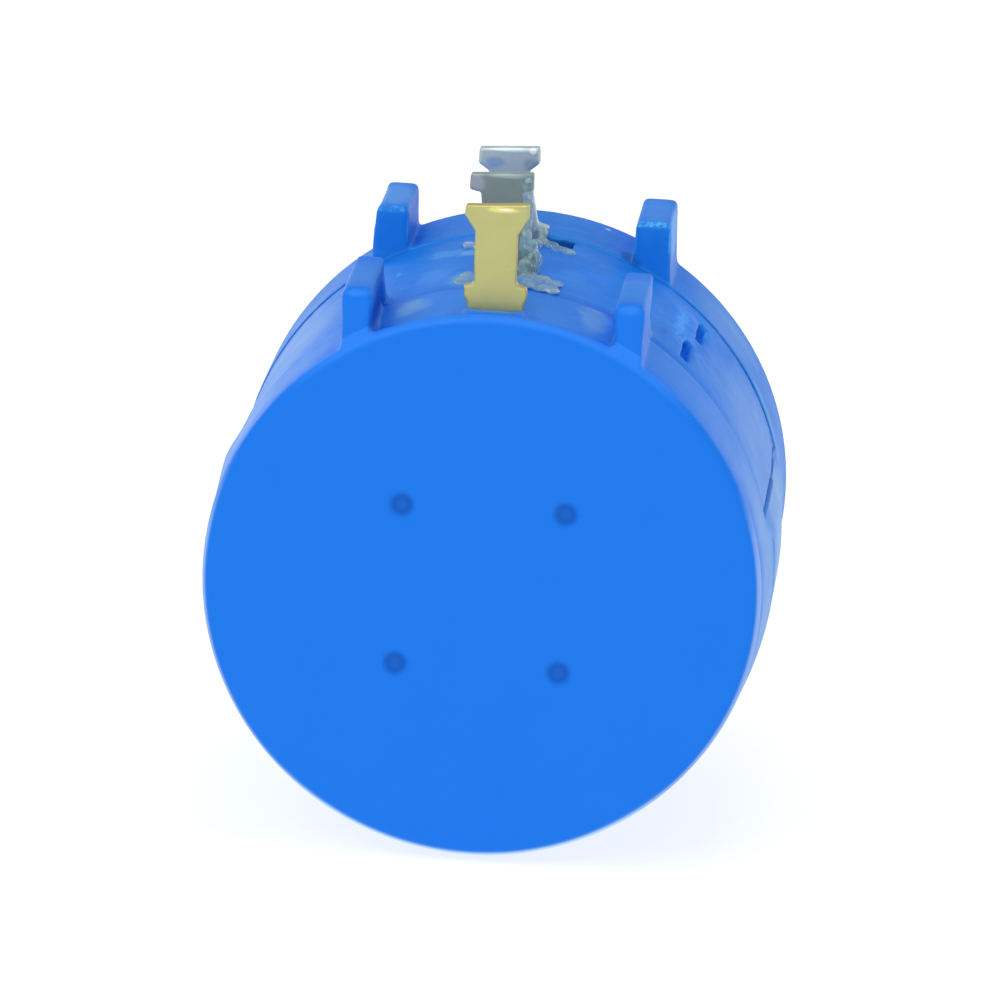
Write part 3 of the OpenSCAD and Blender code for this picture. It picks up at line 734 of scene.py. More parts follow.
    # A darker copy of the tin plating for the middle terminal: painted shade, as its faces mirror
    # the dark parts round it.
    TIN_DULL = PlatedMetal(
        "tin_plating_shaded", (0.27, 0.34, 0.31), (0.33, 0.38, 0.37), (0.5, 0.62, 0.6), rough=0.5,
        # sides and side_share: painted light on the faces that look sideways and up.
        stain_scale=500, speckle=0.1, edge=0, sides=(0.45, 0.6, 0.6), side_share=0.4,
        patches=(
            Patch((-1.4, -11.3, 14.6), (0.36, 0.6, 0.6), (0.45, 0.48, 0.55), 0.85),
            # Painted highlight along the top edge.
            Patch((-0.2, -11.3, 14.92), (0.9, 0.5, 0.12), (0.5, 0.62, 0.6), 0.7),
        ),
    )
    GOLD = PlatedMetal(
        "gold_plating", (0.55, 0.54, 0.23), (0.5, 0.5, 0.2), (0.62, 0.42, 0.09), rough=0.42,
        # sides and side_share: darker orange on the side faces, a painted reflection of darker
        # surroundings.
        stained=0.3, stain_scale=500, metallic=0.75, speckle=0, edge=0, sides=(0.6, 0.4, 0.12),
        side_share=0.6,
        patches=(
            # Painted highlights along the top edge, and a painted glint on the left edge.
            Patch((0.15, -17.72, 14.98), (0.75, 0.3, 0.14), (0.95, 0.88, 0.3), 0.8, 0.4),
            Patch((0.25, -17.72, 15), (0.35, 0.3, 0.06), (1, 1, 0.85), 0.9, 0.4),
            Patch((-0.95, -17.73, 12.8), (0.07, 0.2, 0.1), (1, 1, 0.9), 1),
        ),
    )
    NICKEL = TurnedMetal("nickel_plating", (0.66, 0.64, 0.6), rough=0.2)
    STEEL = TurnedMetal("turned_steel", (0.56, 0.56, 0.56))
    SPRING_STEEL = PlatedMetal(
        "spring_steel", (0.36, 0.36, 0.37), (0.24, 0.23, 0.22), (0.6, 0.6, 0.6),
    )
    BRASS = PlatedMetal(
        "contact_brass", (0.72, 0.52, 0.22), (0.55, 0.38, 0.16), (0.9, 0.75, 0.4), rough=0.25,
    )
    ROTOR = MouldedPlastic(
        "rotor_plastic", (0.03, 0.03, 0.033), (0.02, 0.02, 0.022), (0.12, 0.12, 0.12), rough=0.45,
    )
    CARRIAGE = MouldedPlastic(
        "carriage_plastic", (0.76, 0.72, 0.6), (0.66, 0.62, 0.5), (0.85, 0.83, 0.75), rough=0.4,
    )
    WIRE = WoundWire("resistance_wire", (0.42, 0.22, 0.12), (0.08, 0.04, 0.03))
    RESIN = ClearResin("sealing_resin", (0.2, 0.42, 0.47), (0.55, 0.76, 0.74), patches=(
        # Painted glints on the resin.
        Patch((0.72, -11.45, 14.15), (0.1, 0.3, 0.14), Shade.WHITE, 1),
        Patch((1.15, -11.3, 12), (0.16, 0.4, 0.14), Shade.WHITE, 0.9),
        Patch((0.85, -11.4, 11.75), (0.12, 0.4, 0.12), (0.6, 0.95, 1), 0.9),
        Patch((0.75, -11.9, 11.35), (0.14, 0.4, 0.12), (0.6, 0.95, 1), 0.9),
        Patch((0.72, -12.6, 11.25), (0.1, 0.3, 0.1), Shade.WHITE, 0.9),
        Patch((0.95, -13.4, 11.1), (0.12, 0.3, 0.1), Shade.WHITE, 0.8),
        Patch((1.75, -13.9, 10.95), (0.2, 0.3, 0.1), (0.9, 1, 1), 0.7),
        Patch((-2.05, -6.45, 10.9), (0.14, 0.3, 0.2), Shade.WHITE, 1),
        Patch((-1.7, -6.4, 10.9), (0.5, 0.6, 0.3), (0.4, 0.75, 0.95), 0.6, 1.2),
    ))


# --- Mesh tools ---


class ValueNoise:
    """Smooth random field in space, the same on every run."""

    CELLS = 32

    def __init__(self, seed: int) -> None:
        """Fills the lattice from a seed."""
        self.table = np.random.default_rng(seed).uniform(-1.0, 1.0, (self.CELLS,) * 3)

    def at(self, points: np.ndarray, cell: float) -> np.ndarray:
        """Field at the points.

        Args:
            points: Places, one row each.
            cell: Size of the field's cells in the same unit.

        Returns:
            One value from -1 to 1 for each point.
        """
        corner = np.floor(points / cell).astype(int)
        part = points / cell - corner
        part = part * part * (3.0 - 2.0 * part)
        total = np.zeros(len(points))
        for step in product((0, 1), repeat=3):
            weight = np.abs(1 - np.array(step) - part).prod(axis=1)
            total += weight * self.table[tuple(((corner + step) % self.CELLS).T)]
        return total


def vertices(mesh: Mesh) -> np.ndarray:
    """The mesh's vertices as rows of x, y, z, in metres."""
    values = np.empty(len(mesh.vertices) * 3)
    mesh.vertices.foreach_get("co", values)
    return values.reshape(-1, 3)


def move_vertices(mesh: Mesh, points: np.ndarray) -> None:
    """Moves the mesh's vertices to the points, in metres."""
    mesh.vertices.foreach_set("co", points.astype(np.float32).ravel())
    mesh.update()


def roughen(mesh: Mesh, points: np.ndarray, height: np.ndarray) -> None:
    """Puts the vertices at the points and lifts them along their normals, in millimetres."""
    move_vertices(mesh, points * MM)
    normals = np.empty(points.size)
    mesh.vertex_normals.foreach_get("vector", normals)
    move_vertices(mesh, (points + normals.reshape(-1, 3) * height[:, None]) * MM)


def rise(value: np.ndarray, low: float, high: float) -> np.ndarray:
    """Smooth step from 0 at low to 1 at high."""
    part = np.clip((value - low) / (high - low), 0.0, 1.0)
    return part * part * (3.0 - 2.0 * part)


def hump(value: np.ndarray, middle: float, width: float) -> np.ndarray:
    """Smooth hump that is 1 at the middle."""
    return np.exp(-((value - middle) / width) ** 2)


def spread(points: np.ndarray, grown: np.ndarray) -> np.ndarray:
    """Moves the points away from the shaft's axis."""
    share = 1 + grown / np.hypot(points[:, 0], points[:, 2])
    return points * np.stack([share, np.ones(len(points)), share], axis=1)


def bulge(points: np.ndarray) -> np.ndarray:
    """Swelling of the left side above the shell's edge, growing towards the rear."""
    growth = np.clip((-4.0 - points[:, 1]) / 9.5, 0.0, 1.0)
    return 0.15 * growth * hump(points[:, 2], 3.5, 0.85) * (points[:, 0] < 0)


def crease(points: np.ndarray, along: float) -> np.ndarray:
    """Dip of the skin beside the rear joint, on both sides of the deck."""
    x, y, z = points.T
    side = rise(np.abs(x), 4.5, 6.0) * np.where(x < 0, rise(z, 4.5, 6.0), rise(z, 1.0, 5.0))
    return 0.1 * side * hump(y, along, 0.4)


def slanted(points: np.ndarray) -> np.ndarray:
    """Turns the right side down near the shell's edge, so that the joint there slants."""
    x, y, z = points.T
    share = (0.4 + 0.6 * rise(-y, 4.8, 7.8)) * rise(-y, 4.2, 4.7) * (x > 0)
    turn = -0.064 * share * hump(z, 3.0, 1.1)
    sine, cosine = np.sin(turn), np.cos(turn)
    return np.stack([x * cosine - z * sine, y, x * sine + z * cosine], axis=1)


def leftward(points: np.ndarray) -> np.ndarray:
    """Weight of the left side below the shell's edge, where the skin stands out less."""
    return rise(points[:, 2], -8.0, -1.0) * (points[:, 0] < 0)


def near(points: np.ndarray, centre: Point, reach: Point) -> np.ndarray:
    """Weight that is 1 close to the centre and falls to 0 at the reach."""
    away = np.abs((points - np.array(centre)) / np.array(reach)).max(axis=1)
    return 1.0 - rise(away, 0.35, 1.0)


def relax(mesh: Mesh, points: np.ndarray, weights: np.ndarray, rounds: int) -> np.ndarray:
    """Softens the mesh's edges.

    Args:
        mesh: The mesh that gives the neighbours.
        points: Its vertices.
        weights: How strongly each vertex follows its neighbours, from 0 to 1.
        rounds: Number of passes.

    Returns:
        The moved vertices.
    """
    ends = np.empty(len(mesh.edges) * 2, int)
    mesh.edges.foreach_get("vertices", ends)
    first, second = ends.reshape(-1, 2).T
    size = len(points)
    count = np.bincount(first, minlength=size) + np.bincount(second, minlength=size)
    for _ in range(rounds):
        total = [np.bincount(first, row[second], size) + np.bincount(second, row[first], size)
                 for row in points.T]
        points = points + weights[:, None] * (np.stack(total, axis=1) / count[:, None] - points)
    return points


def solid(verts: Iterable[Sequence[float]], faces: Iterable[Sequence[int]]) -> Mesh:
    """Closed mesh with its faces turned outwards, from vertices in millimetres."""
    mesh = bpy.data.meshes.new("solid")
    mesh.from_pydata([[MM * v for v in vert] for vert in verts], [], list(faces))
    build = bmesh.new()
    build.from_mesh(mesh)
    bmesh.ops.recalc_face_normals(build, faces=build.faces)
    build.to_mesh(mesh)
    build.free()
    return mesh


def strip(rows: int, count: int, closed: bool) -> list[tuple[int, ...]]:
    """Quads between neighbouring rows of points.

    Args:
        rows: Number of rows, each of which is a closed outline.
        count: Number of points in a row.
        closed: Whether the last row joins the first.

    Returns:
        Four vertex numbers for each quad.
    """
    pairs = [(row * count, (row + 1) % rows * count) for row in range(rows if closed else rows - 1)]
    return [(here + n, here + (n + 1) % count, there + (n + 1) % count, there + n)
            for here, there in pairs for n in range(count)]


def block(low: Point, high: Point) -> Mesh:
    """Box between two corners in millimetres."""
    (x0, y0, z0), (x1, y1, z1) = low, high
    outline = ((x0, y0), (x1, y0), (x1, y1), (x0, y1))
    corners = [(x, y, z) for z in (z0, z1) for x, y in outline]
    return solid(corners, [*strip(2, 4, closed=False), range(4), range(4, 8)])


def joined(meshes: Sequence[Mesh]) -> Mesh:
    """One mesh that holds all of them."""
    build = bmesh.new()
    for mesh in meshes:
        build.from_mesh(mesh)
    result = bpy.data.meshes.new("joined")
    build.to_mesh(result)
    build.free()
    return result


def modified(mesh: Mesh, kind: str, **settings: Any) -> Mesh:
    """A new mesh made from this one by a modifier with these settings."""
    carrier = bpy.data.objects.new("carrier", mesh)
    bpy.context.scene.collection.objects.link(carrier)
    modifier = carrier.modifiers.new(kind, kind)
    for name, value in settings.items():
        setattr(modifier, name, value)
    graph = bpy.context.evaluated_depsgraph_get()
    result = bpy.data.meshes.new_from_object(carrier.evaluated_get(graph))
    bpy.data.objects.remove(carrier)
    return result


def melted(mesh: Mesh, voxel: float) -> Mesh:
    """The mesh's outer skin, laid anew in cells of this size in millimetres."""
    return modified(mesh, "REMESH", mode="VOXEL", voxel_size=voxel * MM)


def add_piece(name: str, mesh: Mesh, finish: Finish, slot: str, body: Body, *nodes: str) -> Piece:
    """Adds a smooth-shaded piece that rides on a body.

    Args:
        name: The piece's name.
        mesh: Its mesh, in the row frame.
        finish: The finish that builds its material.
        slot: The record's material slot; not used.
        body: The body it rides on.
        nodes: The CAD nodes it stands for.

    Returns:
        The new object.
    """
    mesh.materials.clear()
    mesh.materials.append(finish.material())
    mesh.polygons.foreach_set("use_smooth", np.ones(len(mesh.polygons), bool))
    piece = bpy.data.objects.new(name, mesh)
    bpy.context.scene.collection.objects.link(piece)
    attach(piece, body.value)
    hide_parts(*nodes)
    LOG.info("%s: %d faces", name, len(mesh.polygons))
    return piece


# --- Sub-assemblies ---


@dataclass
class Moulding:
    """One blue moulding: its solid with softened edges and an uneven skin, in millimetres."""

    node: str
    name: str
    finish: MouldedPlastic
    seed: int
    voxel: float = 0.085
    rounds: int = 7
    share_kept: float = 0.24
    ripple: float = 0.004
    ripple_cell: float = 1.7

    def build(self, nodes: dict[str, Piece], box: Sequence[Sequence[float]]) -> Piece:
        """Makes the softened piece in place of its solid.

        Args:
            nodes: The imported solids.
            box: Corners that the piece stays between, in metres.

        Returns:
            The new piece.
        """
        parts = [nodes[self.node].data, *(block(low, high) for low, high in self.fillers())]
        soft = melted(joined(parts), self.voxel)
        points = vertices(soft) / MM
        points = self.sculpt(relax(soft, points, self.softness(points), self.rounds))
        waves = ValueNoise(self.seed).at(points, self.ripple_cell) * self.ripple
        roughen(soft, points, waves + self.relief(points))
        light = modified(soft, "DECIMATE", ratio=self.share_kept)
        move_vertices(light, np.clip(vertices(light), box[0], box[1]))
        return add_piece(self.name, light, self.finish, "housing_plastic", Body.HOUSING, self.node)

    def fillers(self) -> list[tuple[Point, Point]]:
        """Boxes that are melted into the moulding before its edges are softened."""
        return []

    def softness(self, points: np.ndarray) -> np.ndarray:
        """How much each place gives way when the edges are softened."""
        return np.full(len(points), 0.5)

    def sculpt(self, points: np.ndarray) -> np.ndarray:
        """Moves the skin to its real shape."""
        return points

    def relief(self, points: np.ndarray) -> np.ndarray:
        """Extra height of the skin at each place."""
        return np.zeros(len(points))


@dataclass
class RearCover(Moulding):
    """The cup that closes the rear, with the recess between its ears and four round marks."""

    rear: float = REAR_Y
    edge: float = -14.2
    mark_r: float = 0.4
    mark_fill: float = 0.6
    mark_ring: float = 0.03
    flare: float = 0.19
    pad_from: float = 3.9
    pad_reach: float = 4.58
    pad_r: float = 10.78
    pad_rear_lift: float = 0.13
    pad_front_lift: float = 0.11
    ear_half: float = 0.49
    ear_spread: float = 0.11
    joint_gap: float = 0.2

    def fillers(self) -> list[tuple[Point, Point]]:
        """Blocks that carry the pad on towards the ears, and the ears over the posts."""
        made = []
        for side in (-1, 1):
            inner, outer = sorted((side * self.pad_from, side * self.pad_reach))
            left, right = (side * EAR_X + half for half in (-self.ear_half, self.ear_half))
            made += [((inner, self.rear + 0.6, 9.2), (outer, self.edge - 0.05, 10.2)),
                     ((left, self.edge - 0.4, 9.2), (right, self.edge + 1.1, 11.76))]
        return made

    def softness(self, points: np.ndarray) -> np.ndarray:
        """Softest at the rim and the open edge's sides, firm at the joint on top."""
        x, y, z = points.T
        rim = 1.0 - rise(y, self.rear + 0.3, self.rear + 0.9)
        open_edge = rise(y, self.edge - 0.5, self.edge - 0.2)
        top = rise(z, 9.0, 9.6)
        ears = rise(np.abs(x), 4.7, 4.85) * rise(z, 9.8, 10.1)
        soft = np.maximum(rim, open_edge * (1.0 - top))
        return 0.45 + 0.45 * soft - 0.3 * open_edge * top * (1.0 - ears)

    def sculpt(self, points: np.ndarray) -> np.ndarray:
        """Flares the lower side towards the shell, lifts the pad and shapes the marks."""
        x, y, z = points.T
        radius = np.hypot(x, z)
        skin = rise(radius, 10.5, 10.75) * (y < self.edge + 0.1)
        right = x > 0
        below = 1.0 - rise(z, SHELL_Z - 0.9 - 0.5 * right, SHELL_Z + 0.4 - 0.9 * right)
        grown = self.flare * below * skin * rise(y, self.rear, self.edge)
        grown *= 1.0 - 0.7 * leftward(points)
        grown += bulge(points) * skin * rise(y, self.rear + 1.5, self.edge)
        grown -= crease(points, self.edge) * skin * (1.0 - rise(radius, 11.1, 11.4))
        moved = spread(points, grown + self._pad(x, y, z, radius))
        ears = rise(np.abs(x), 4.6, 4.8) * rise(z, 9.8, 10.1)
        moved[:, 1] += self.joint_gap * rise(y, self.edge - 0.4, self.edge - 0.05) * (1.0 - ears)
        moved[:, 0] += self.ear_spread * ears * rise(z, 10.2, 11.2) * (x - EAR_X * np.sign(x))
        behind = 1.0 - rise(y, self.rear + 0.3, self.rear + 0.4)
        away = np.hypot(np.abs(x) - MARK_AT, np.abs(z) - MARK_AT)
        dimple = behind * (1.0 - rise(away, self.mark_r + 0.1, self.mark_r + 0.3))
        moved[:, 1] -= self.mark_fill * dimple * np.maximum(moved[:, 1] - self.rear, 0.0)
        moved[:, 1] += self.mark_ring * behind * hump(away, self.mark_r, 0.12)
        return moved

    def _pad(self, x: np.ndarray, y: np.ndarray, z: np.ndarray, radius: np.ndarray) -> np.ndarray:
        """Lift of the recess and its pad, levelled beside the ears."""
        inside = (z > 9.0) & (y < self.edge + 0.1)
        beside = inside & (y > self.rear + 0.5) & (np.abs(x) < 4.75) & (np.abs(x) > 3.6)
        recess = inside & (radius < 10.96) & (radius > 10.35) & (np.abs(x) < 4.9)
        lift = (self.pad_rear_lift * rise(y, -17.85, self.edge - 0.4)
                + self.pad_front_lift * rise(y, -16.2, self.edge - 0.1))
        lifted = recess | beside & (radius > 10.35)
        return lifted * lift - beside * np.maximum(radius - self.pad_r, 0.0)


@dataclass
class CoilHousing(Moulding):
    """The middle housing with its deck, the posts before the rear ears and the side notches."""

    rear: float = COVER_Y
    front: float = SEAM_Y - 0.1
    bottom: float = SHELL_Z + 0.05
    post_tuck: Point = (0.3, 0.25, 0.3)
    lip: float = 0.04
    scuff: float = 0.02
    scratch: float = 0.008
    burr: float = 0.06

    def softness(self, points: np.ndarray) -> np.ndarray:
        """Crisp at all joints."""
        rear = 1.0 - rise(points[:, 1], self.rear + 0.2, self.rear + 0.6)
        front = rise(points[:, 1], self.front - 0.4, self.front - 0.1)
        lower = 1.0 - rise(points[:, 2], self.bottom + 0.1, self.bottom + 0.4)
        return np.clip(0.5 - 0.42 * (front + rear + lower), 0.06, 1.0)

    def sculpt(self, points: np.ndarray) -> np.ndarray:
        """Sinks the skin at the rear joint, closes the front one and tucks in the posts."""
        x, y, z = points.T
        skin = rise(np.hypot(x, z), 10.5, 10.8)
        front = rise(y, self.front - 0.5, self.front - 0.05) * skin
        grown = (bulge(points) - crease(points, self.rear)) * skin + self.lip * front
        grown -= 0.05 * skin * (1.0 - rise(y, self.rear + 0.2, self.rear + 0.8))
        moved = spread(points, grown)
        moved[:, 1] += 0.06 * front
        posts = rise(np.abs(x), 4.6, 4.75) * (y < self.rear + 1.3) * rise(z, 9.8, 10.0)
        outward, ahead = x - EAR_X * np.sign(x), rise(y, self.rear + 0.6, self.rear + 1.0)
        tuck = (outward, ahead, rise(z, 10.8, 11.6))
        for axis, (share, way) in enumerate(zip(self.post_tuck, tuck)):
            moved[:, axis] -= share * posts * way
        return slanted(moved)

    def relief(self, points: np.ndarray) -> np.ndarray:
        """Scuffs on the deck and lifted burrs round the notches."""
        uneven = ValueNoise(self.seed + 50)
        deck = (1.0 - rise(np.abs(points[:, 0]), 3.8, 4.8)) * rise(points[:, 2], 9.5, 10.2)
        scuffs = uneven.at(points * (1.0, 0.7, 1.0), 0.9) * self.scuff
        scuffs += uneven.at(points + 9.0, 0.35) * self.scratch
        notches = near(points, (7.3, -9.0, 8.2), (1.3, 5.0, 1.4))
        return deck * scuffs + notches * (uneven.at(points + 5.0, 0.5) * self.burr + 0.02)


@dataclass
class FrontHousing(Moulding):
    """The front ring with its two ears and the shell below."""

    sunk: float = 0.09
    sunk_behind: float = 0.2
    step_y: float = -8.1
    chip: float = 0.06

    def softness(self, points: np.ndarray) -> np.ndarray:
        """Soft at the ears and crisp at the joint."""
        _, y, z = points.T
        ears = rise(z, 10.8, 11.2)
        joint = 1.0 - rise(np.abs(y - SEAM_Y), 0.1, 0.4)
        lid = (1.0 - rise(np.abs(z - SHELL_Z), 0.2, 0.4)) * rise(-y, 4.6, 4.9)
        return np.maximum(0.5 * ears, 0.5 - 0.42 * np.maximum(joint, lid))

    def sculpt(self, points: np.ndarray) -> np.ndarray:
        """Sinks the shell's upper edge, steps it on the right and spreads the left ear."""
        x, y, z = points.T
        behind = 1.0 - rise(y, SEAM_Y - 0.4, SEAM_Y - 0.1)
        shell = rise(np.hypot(x, z), 10.9, 11.05) * behind
        over = self.sunk + self.sunk_behind * (1.0 - rise(y, self.step_y - 0.25, self.step_y + 0.2))
        rear = rise(-y, -self.step_y - 0.2, -self.step_y + 0.2)
        right = rear * (x > 0)
        taper = (1.0 - 0.22 * right) * rise(z, 1.8 - 0.6 * right, SHELL_Z)
        taper = np.maximum(taper, 0.62 * leftward(points) * rear)
        low = 0.07 * shell * (x > 0) * rise(z, 0.2, 1.0) * (z < 2.95) * hump(y, self.step_y, 0.14)
        moved = spread(points, -(shell * (over * taper - bulge(points)) + low))
        outer = near(points, (-6.1, -2.3, 11.5), (0.6, 3.8, 9.0))
        moved[:, 0] += outer * (0.09 * rise(z, 8.9, 9.9) + 0.08 * rise(z, 10.4, 12.1))
        moved[:, 2] += 0.06 * near(points, (-EAR_X, -2.4, 12.0), (1.2, 3.4, 0.5))
        lid = (z > SHELL_Z - 0.12) * (z < SHELL_Z + 0.05) * (y < SEAM_Y - 0.1)
        moved[:, 2] += 0.09 * lid
        return slanted(moved)

    def relief(self, points: np.ndarray) -> np.ndarray:
        """Chips along the ears' rear top edges."""
        chipped = ValueNoise(self.seed + 50)
        total = np.zeros(len(points))
        for side in (-1, 1):
            zone = near(points, (side * EAR_X, SEAM_Y, EAR_Z), (0.95, 0.22, 0.2))
            total += zone * (chipped.at(points + side, 0.17) * self.chip - 0.05)
        return total


@dataclass
class ThreadedBushing:
    """The nickel-plated bushing with its thread and the flange moulded into the front wall."""

    bore_r: float = 3.205
    thread_r: float = 4.7625
    thread_pitch: float = 25.4 / 32
    thread_depth: float = 0.46
    crest_share: float = 0.125
    root_share: float = 0.25
    length: float = 7.94
    chamfer: float = 0.45
    root_r: float = 5.1625
    flange_r: float = 6.4
    flange_from: float = -2.0
    flange_to: float = -1.1
    runout: float = 0.7
    edge_bevel: float = 0.04
    bevel_from: float = math.radians(60)
    rings_per_pitch: int = 18
    sides: int = 120

    def build(self) -> Piece:
        """Makes the bushing in place of the plain solid."""
        count = round(self.length / self.thread_pitch * self.rings_per_pitch)
        outline = [
            (self.bore_r, self.flange_from), (self.flange_r, self.flange_from),
            (self.flange_r, self.flange_to), (self.root_r, self.flange_to), (self.root_r, 0.0),
            *((self.thread_r, self.length * n / count) for n in range(count + 1)),
            (self.bore_r, self.length),
        ]
        verts = []
        for side in range(self.sides):
            angle = 2 * math.pi * side / self.sides
            for radius, along in outline:
                r = self._cut(along, angle) if radius == self.thread_r else radius
                verts.append((r * math.sin(angle), along, r * math.cos(angle)))
        mesh = solid(verts, strip(self.sides, len(outline), closed=True))
        mesh = modified(mesh, "BEVEL", width=self.edge_bevel * MM, segments=1,
                        angle_limit=self.bevel_from)
        return add_piece("threaded_bushing", mesh, Stock.NICKEL, "nickel_plate", Body.HOUSING,
                         "bushing")

    def _cut(self, along: float, angle: float) -> float:
        """Radius of the outside with the thread cut into it."""
        phase = (along / self.thread_pitch - angle / (2 * math.pi)) % 1.0
        flank_share = (1.0 - self.crest_share - self.root_share) / 2
        flank = min(1.0, max(0.0, (abs(phase - 0.5) - self.crest_share / 2) / flank_share))
        cut = self.thread_r - self.thread_depth * flank * min(1.0, along / self.runout)
        return min(cut, self.thread_r - self.chamfer + (self.length - along))


@dataclass
class WoundCoil:
    """The resistance coil: a cord wound with fine wire, laid in ten turns."""

    radius: float = 8.88
    cord_r: float = 0.35
    pitch: float = 0.9
    turns: float = 10.0
    overrun_deg: float = 10.0
    middle: float = -9.45
    rings_per_turn: int = 72
    sides: int = 14

    def build(self) -> Piece:
        """Makes the coil in place of the many-sided solid."""
        last = self.turns / 2 + self.overrun_deg / 360
        rings = round(2 * last * self.rings_per_turn)
        verts = []
        for ring, side in product(range(rings + 1), range(self.sides)):
            turn = 2 * last * ring / rings - last
            angle, around = 2 * math.pi * turn, 2 * math.pi * side / self.sides
            r = self.radius + self.cord_r * math.cos(around)
            along = self.middle + self.pitch * turn + self.cord_r * math.sin(around)
            verts.append((r * math.sin(angle), along, r * math.cos(angle)))
        ends = (range(self.sides), range(rings * self.sides, (rings + 1) * self.sides))
        mesh = solid(verts, [*strip(rings + 1, self.sides, closed=False), *ends])
        return add_piece("wound_coil", mesh, Stock.WIRE, "wound_wire", Body.HOUSING,
                         "resistance_coil")


@dataclass
class Terminal:
    """One stamped solder terminal with its shoulders, rounded edges and slightly tilted head."""

    node: str
    name: str
    finish: PlatedMetal
    slot: str
    middle_y: float
    lean: float
    foot: float
    top: float
    skirt: tuple[float, float]
    taper: float
    shoulder_top: tuple[float, float] = (1.0, 1.0)
    shoulder_half: float = 1.24
    foot_half: float = 1.1
    head_left: float = 1.26
    head_right: float = 1.24
    waist_half: float = 0.835
    leg_half: float = 0.65
    thickness: float = 0.5
    tilt: float = 0.055
    voxel: float = 0.05
    rounds: int = 6
    dents: tuple[tuple[int, float, float], ...] = ((71, 0.7, 0.012), (72, 0.22, 0.004))
    share_kept: float = 0.5

    def build(self) -> Piece:
        """Makes the terminal in place of its plain blade."""
        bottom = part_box(self.node)[0].z / MM
        left, right = (self._edge(side, bottom) for side in (-1, 1))
        outline = right + left[::-1]
        count = len(outline)
        faces = (self.middle_y + side * self.thickness / 2 for side in (-1, 1))
        verts = [(x, y, z) for y in faces for x, z in outline]
        ends = (range(count), range(count, 2 * count))
        soft = melted(solid(verts, [*strip(2, count, closed=False), *ends]), self.voxel)
        points = vertices(soft) / MM
        upper = rise(points[:, 2], self.top - 0.4, self.top - 0.1)
        points = relax(soft, points, 0.45 + 0.45 * upper, self.rounds)
        height = np.clip((points[:, 2] - self.foot) / (self.top - self.foot), 0.0, 1.0)
        points[:, 2] += self.tilt * height * (points[:, 0] - self.lean)
        dents = (ValueNoise(seed).at(points, cell) * depth for seed, cell, depth in self.dents)
        roughen(soft, points, sum(dents))
        light = modified(soft, "DECIMATE", ratio=self.share_kept)
        return add_piece(self.name, light, self.finish, self.slot, Body.HOUSING, self.node)

    def _edge(self, side: int, bottom: float) -> list[tuple[float, float]]:
        """One side's edge across and up, from the top down to the leg's bottom."""
        number = (side + 1) // 2
        head = (self.head_left, self.head_right)[number]
        below, shoulder = self.top - self.skirt[number], self.foot + self.shoulder_top[number]
        steps = (
            (head, self.top), (head, below), (self.waist_half, below - self.taper),
            (self.waist_half, shoulder), (self.shoulder_half, shoulder - 0.14),
            (self.shoulder_half, min(shoulder - 0.2, self.foot + 0.45)),
            (self.foot_half, self.foot + 0.15), (self.foot_half, self.foot - 0.1),
            (self.leg_half, self.foot - 0.15), (self.leg_half, bottom),
        )
        return [(self._shift(z) + side * half, z) for half, z in steps]

    def _shift(self, z: float) -> float:
        """Sideways offset of the blade at a height."""
        return self.lean * min(1.0, max(0.0, (z - self.foot) / 1.5))


@dataclass(frozen=True)
class Drop:
    """One lump of resin: its centre and half sizes in millimetres."""

    centre: Point
    reach: Point


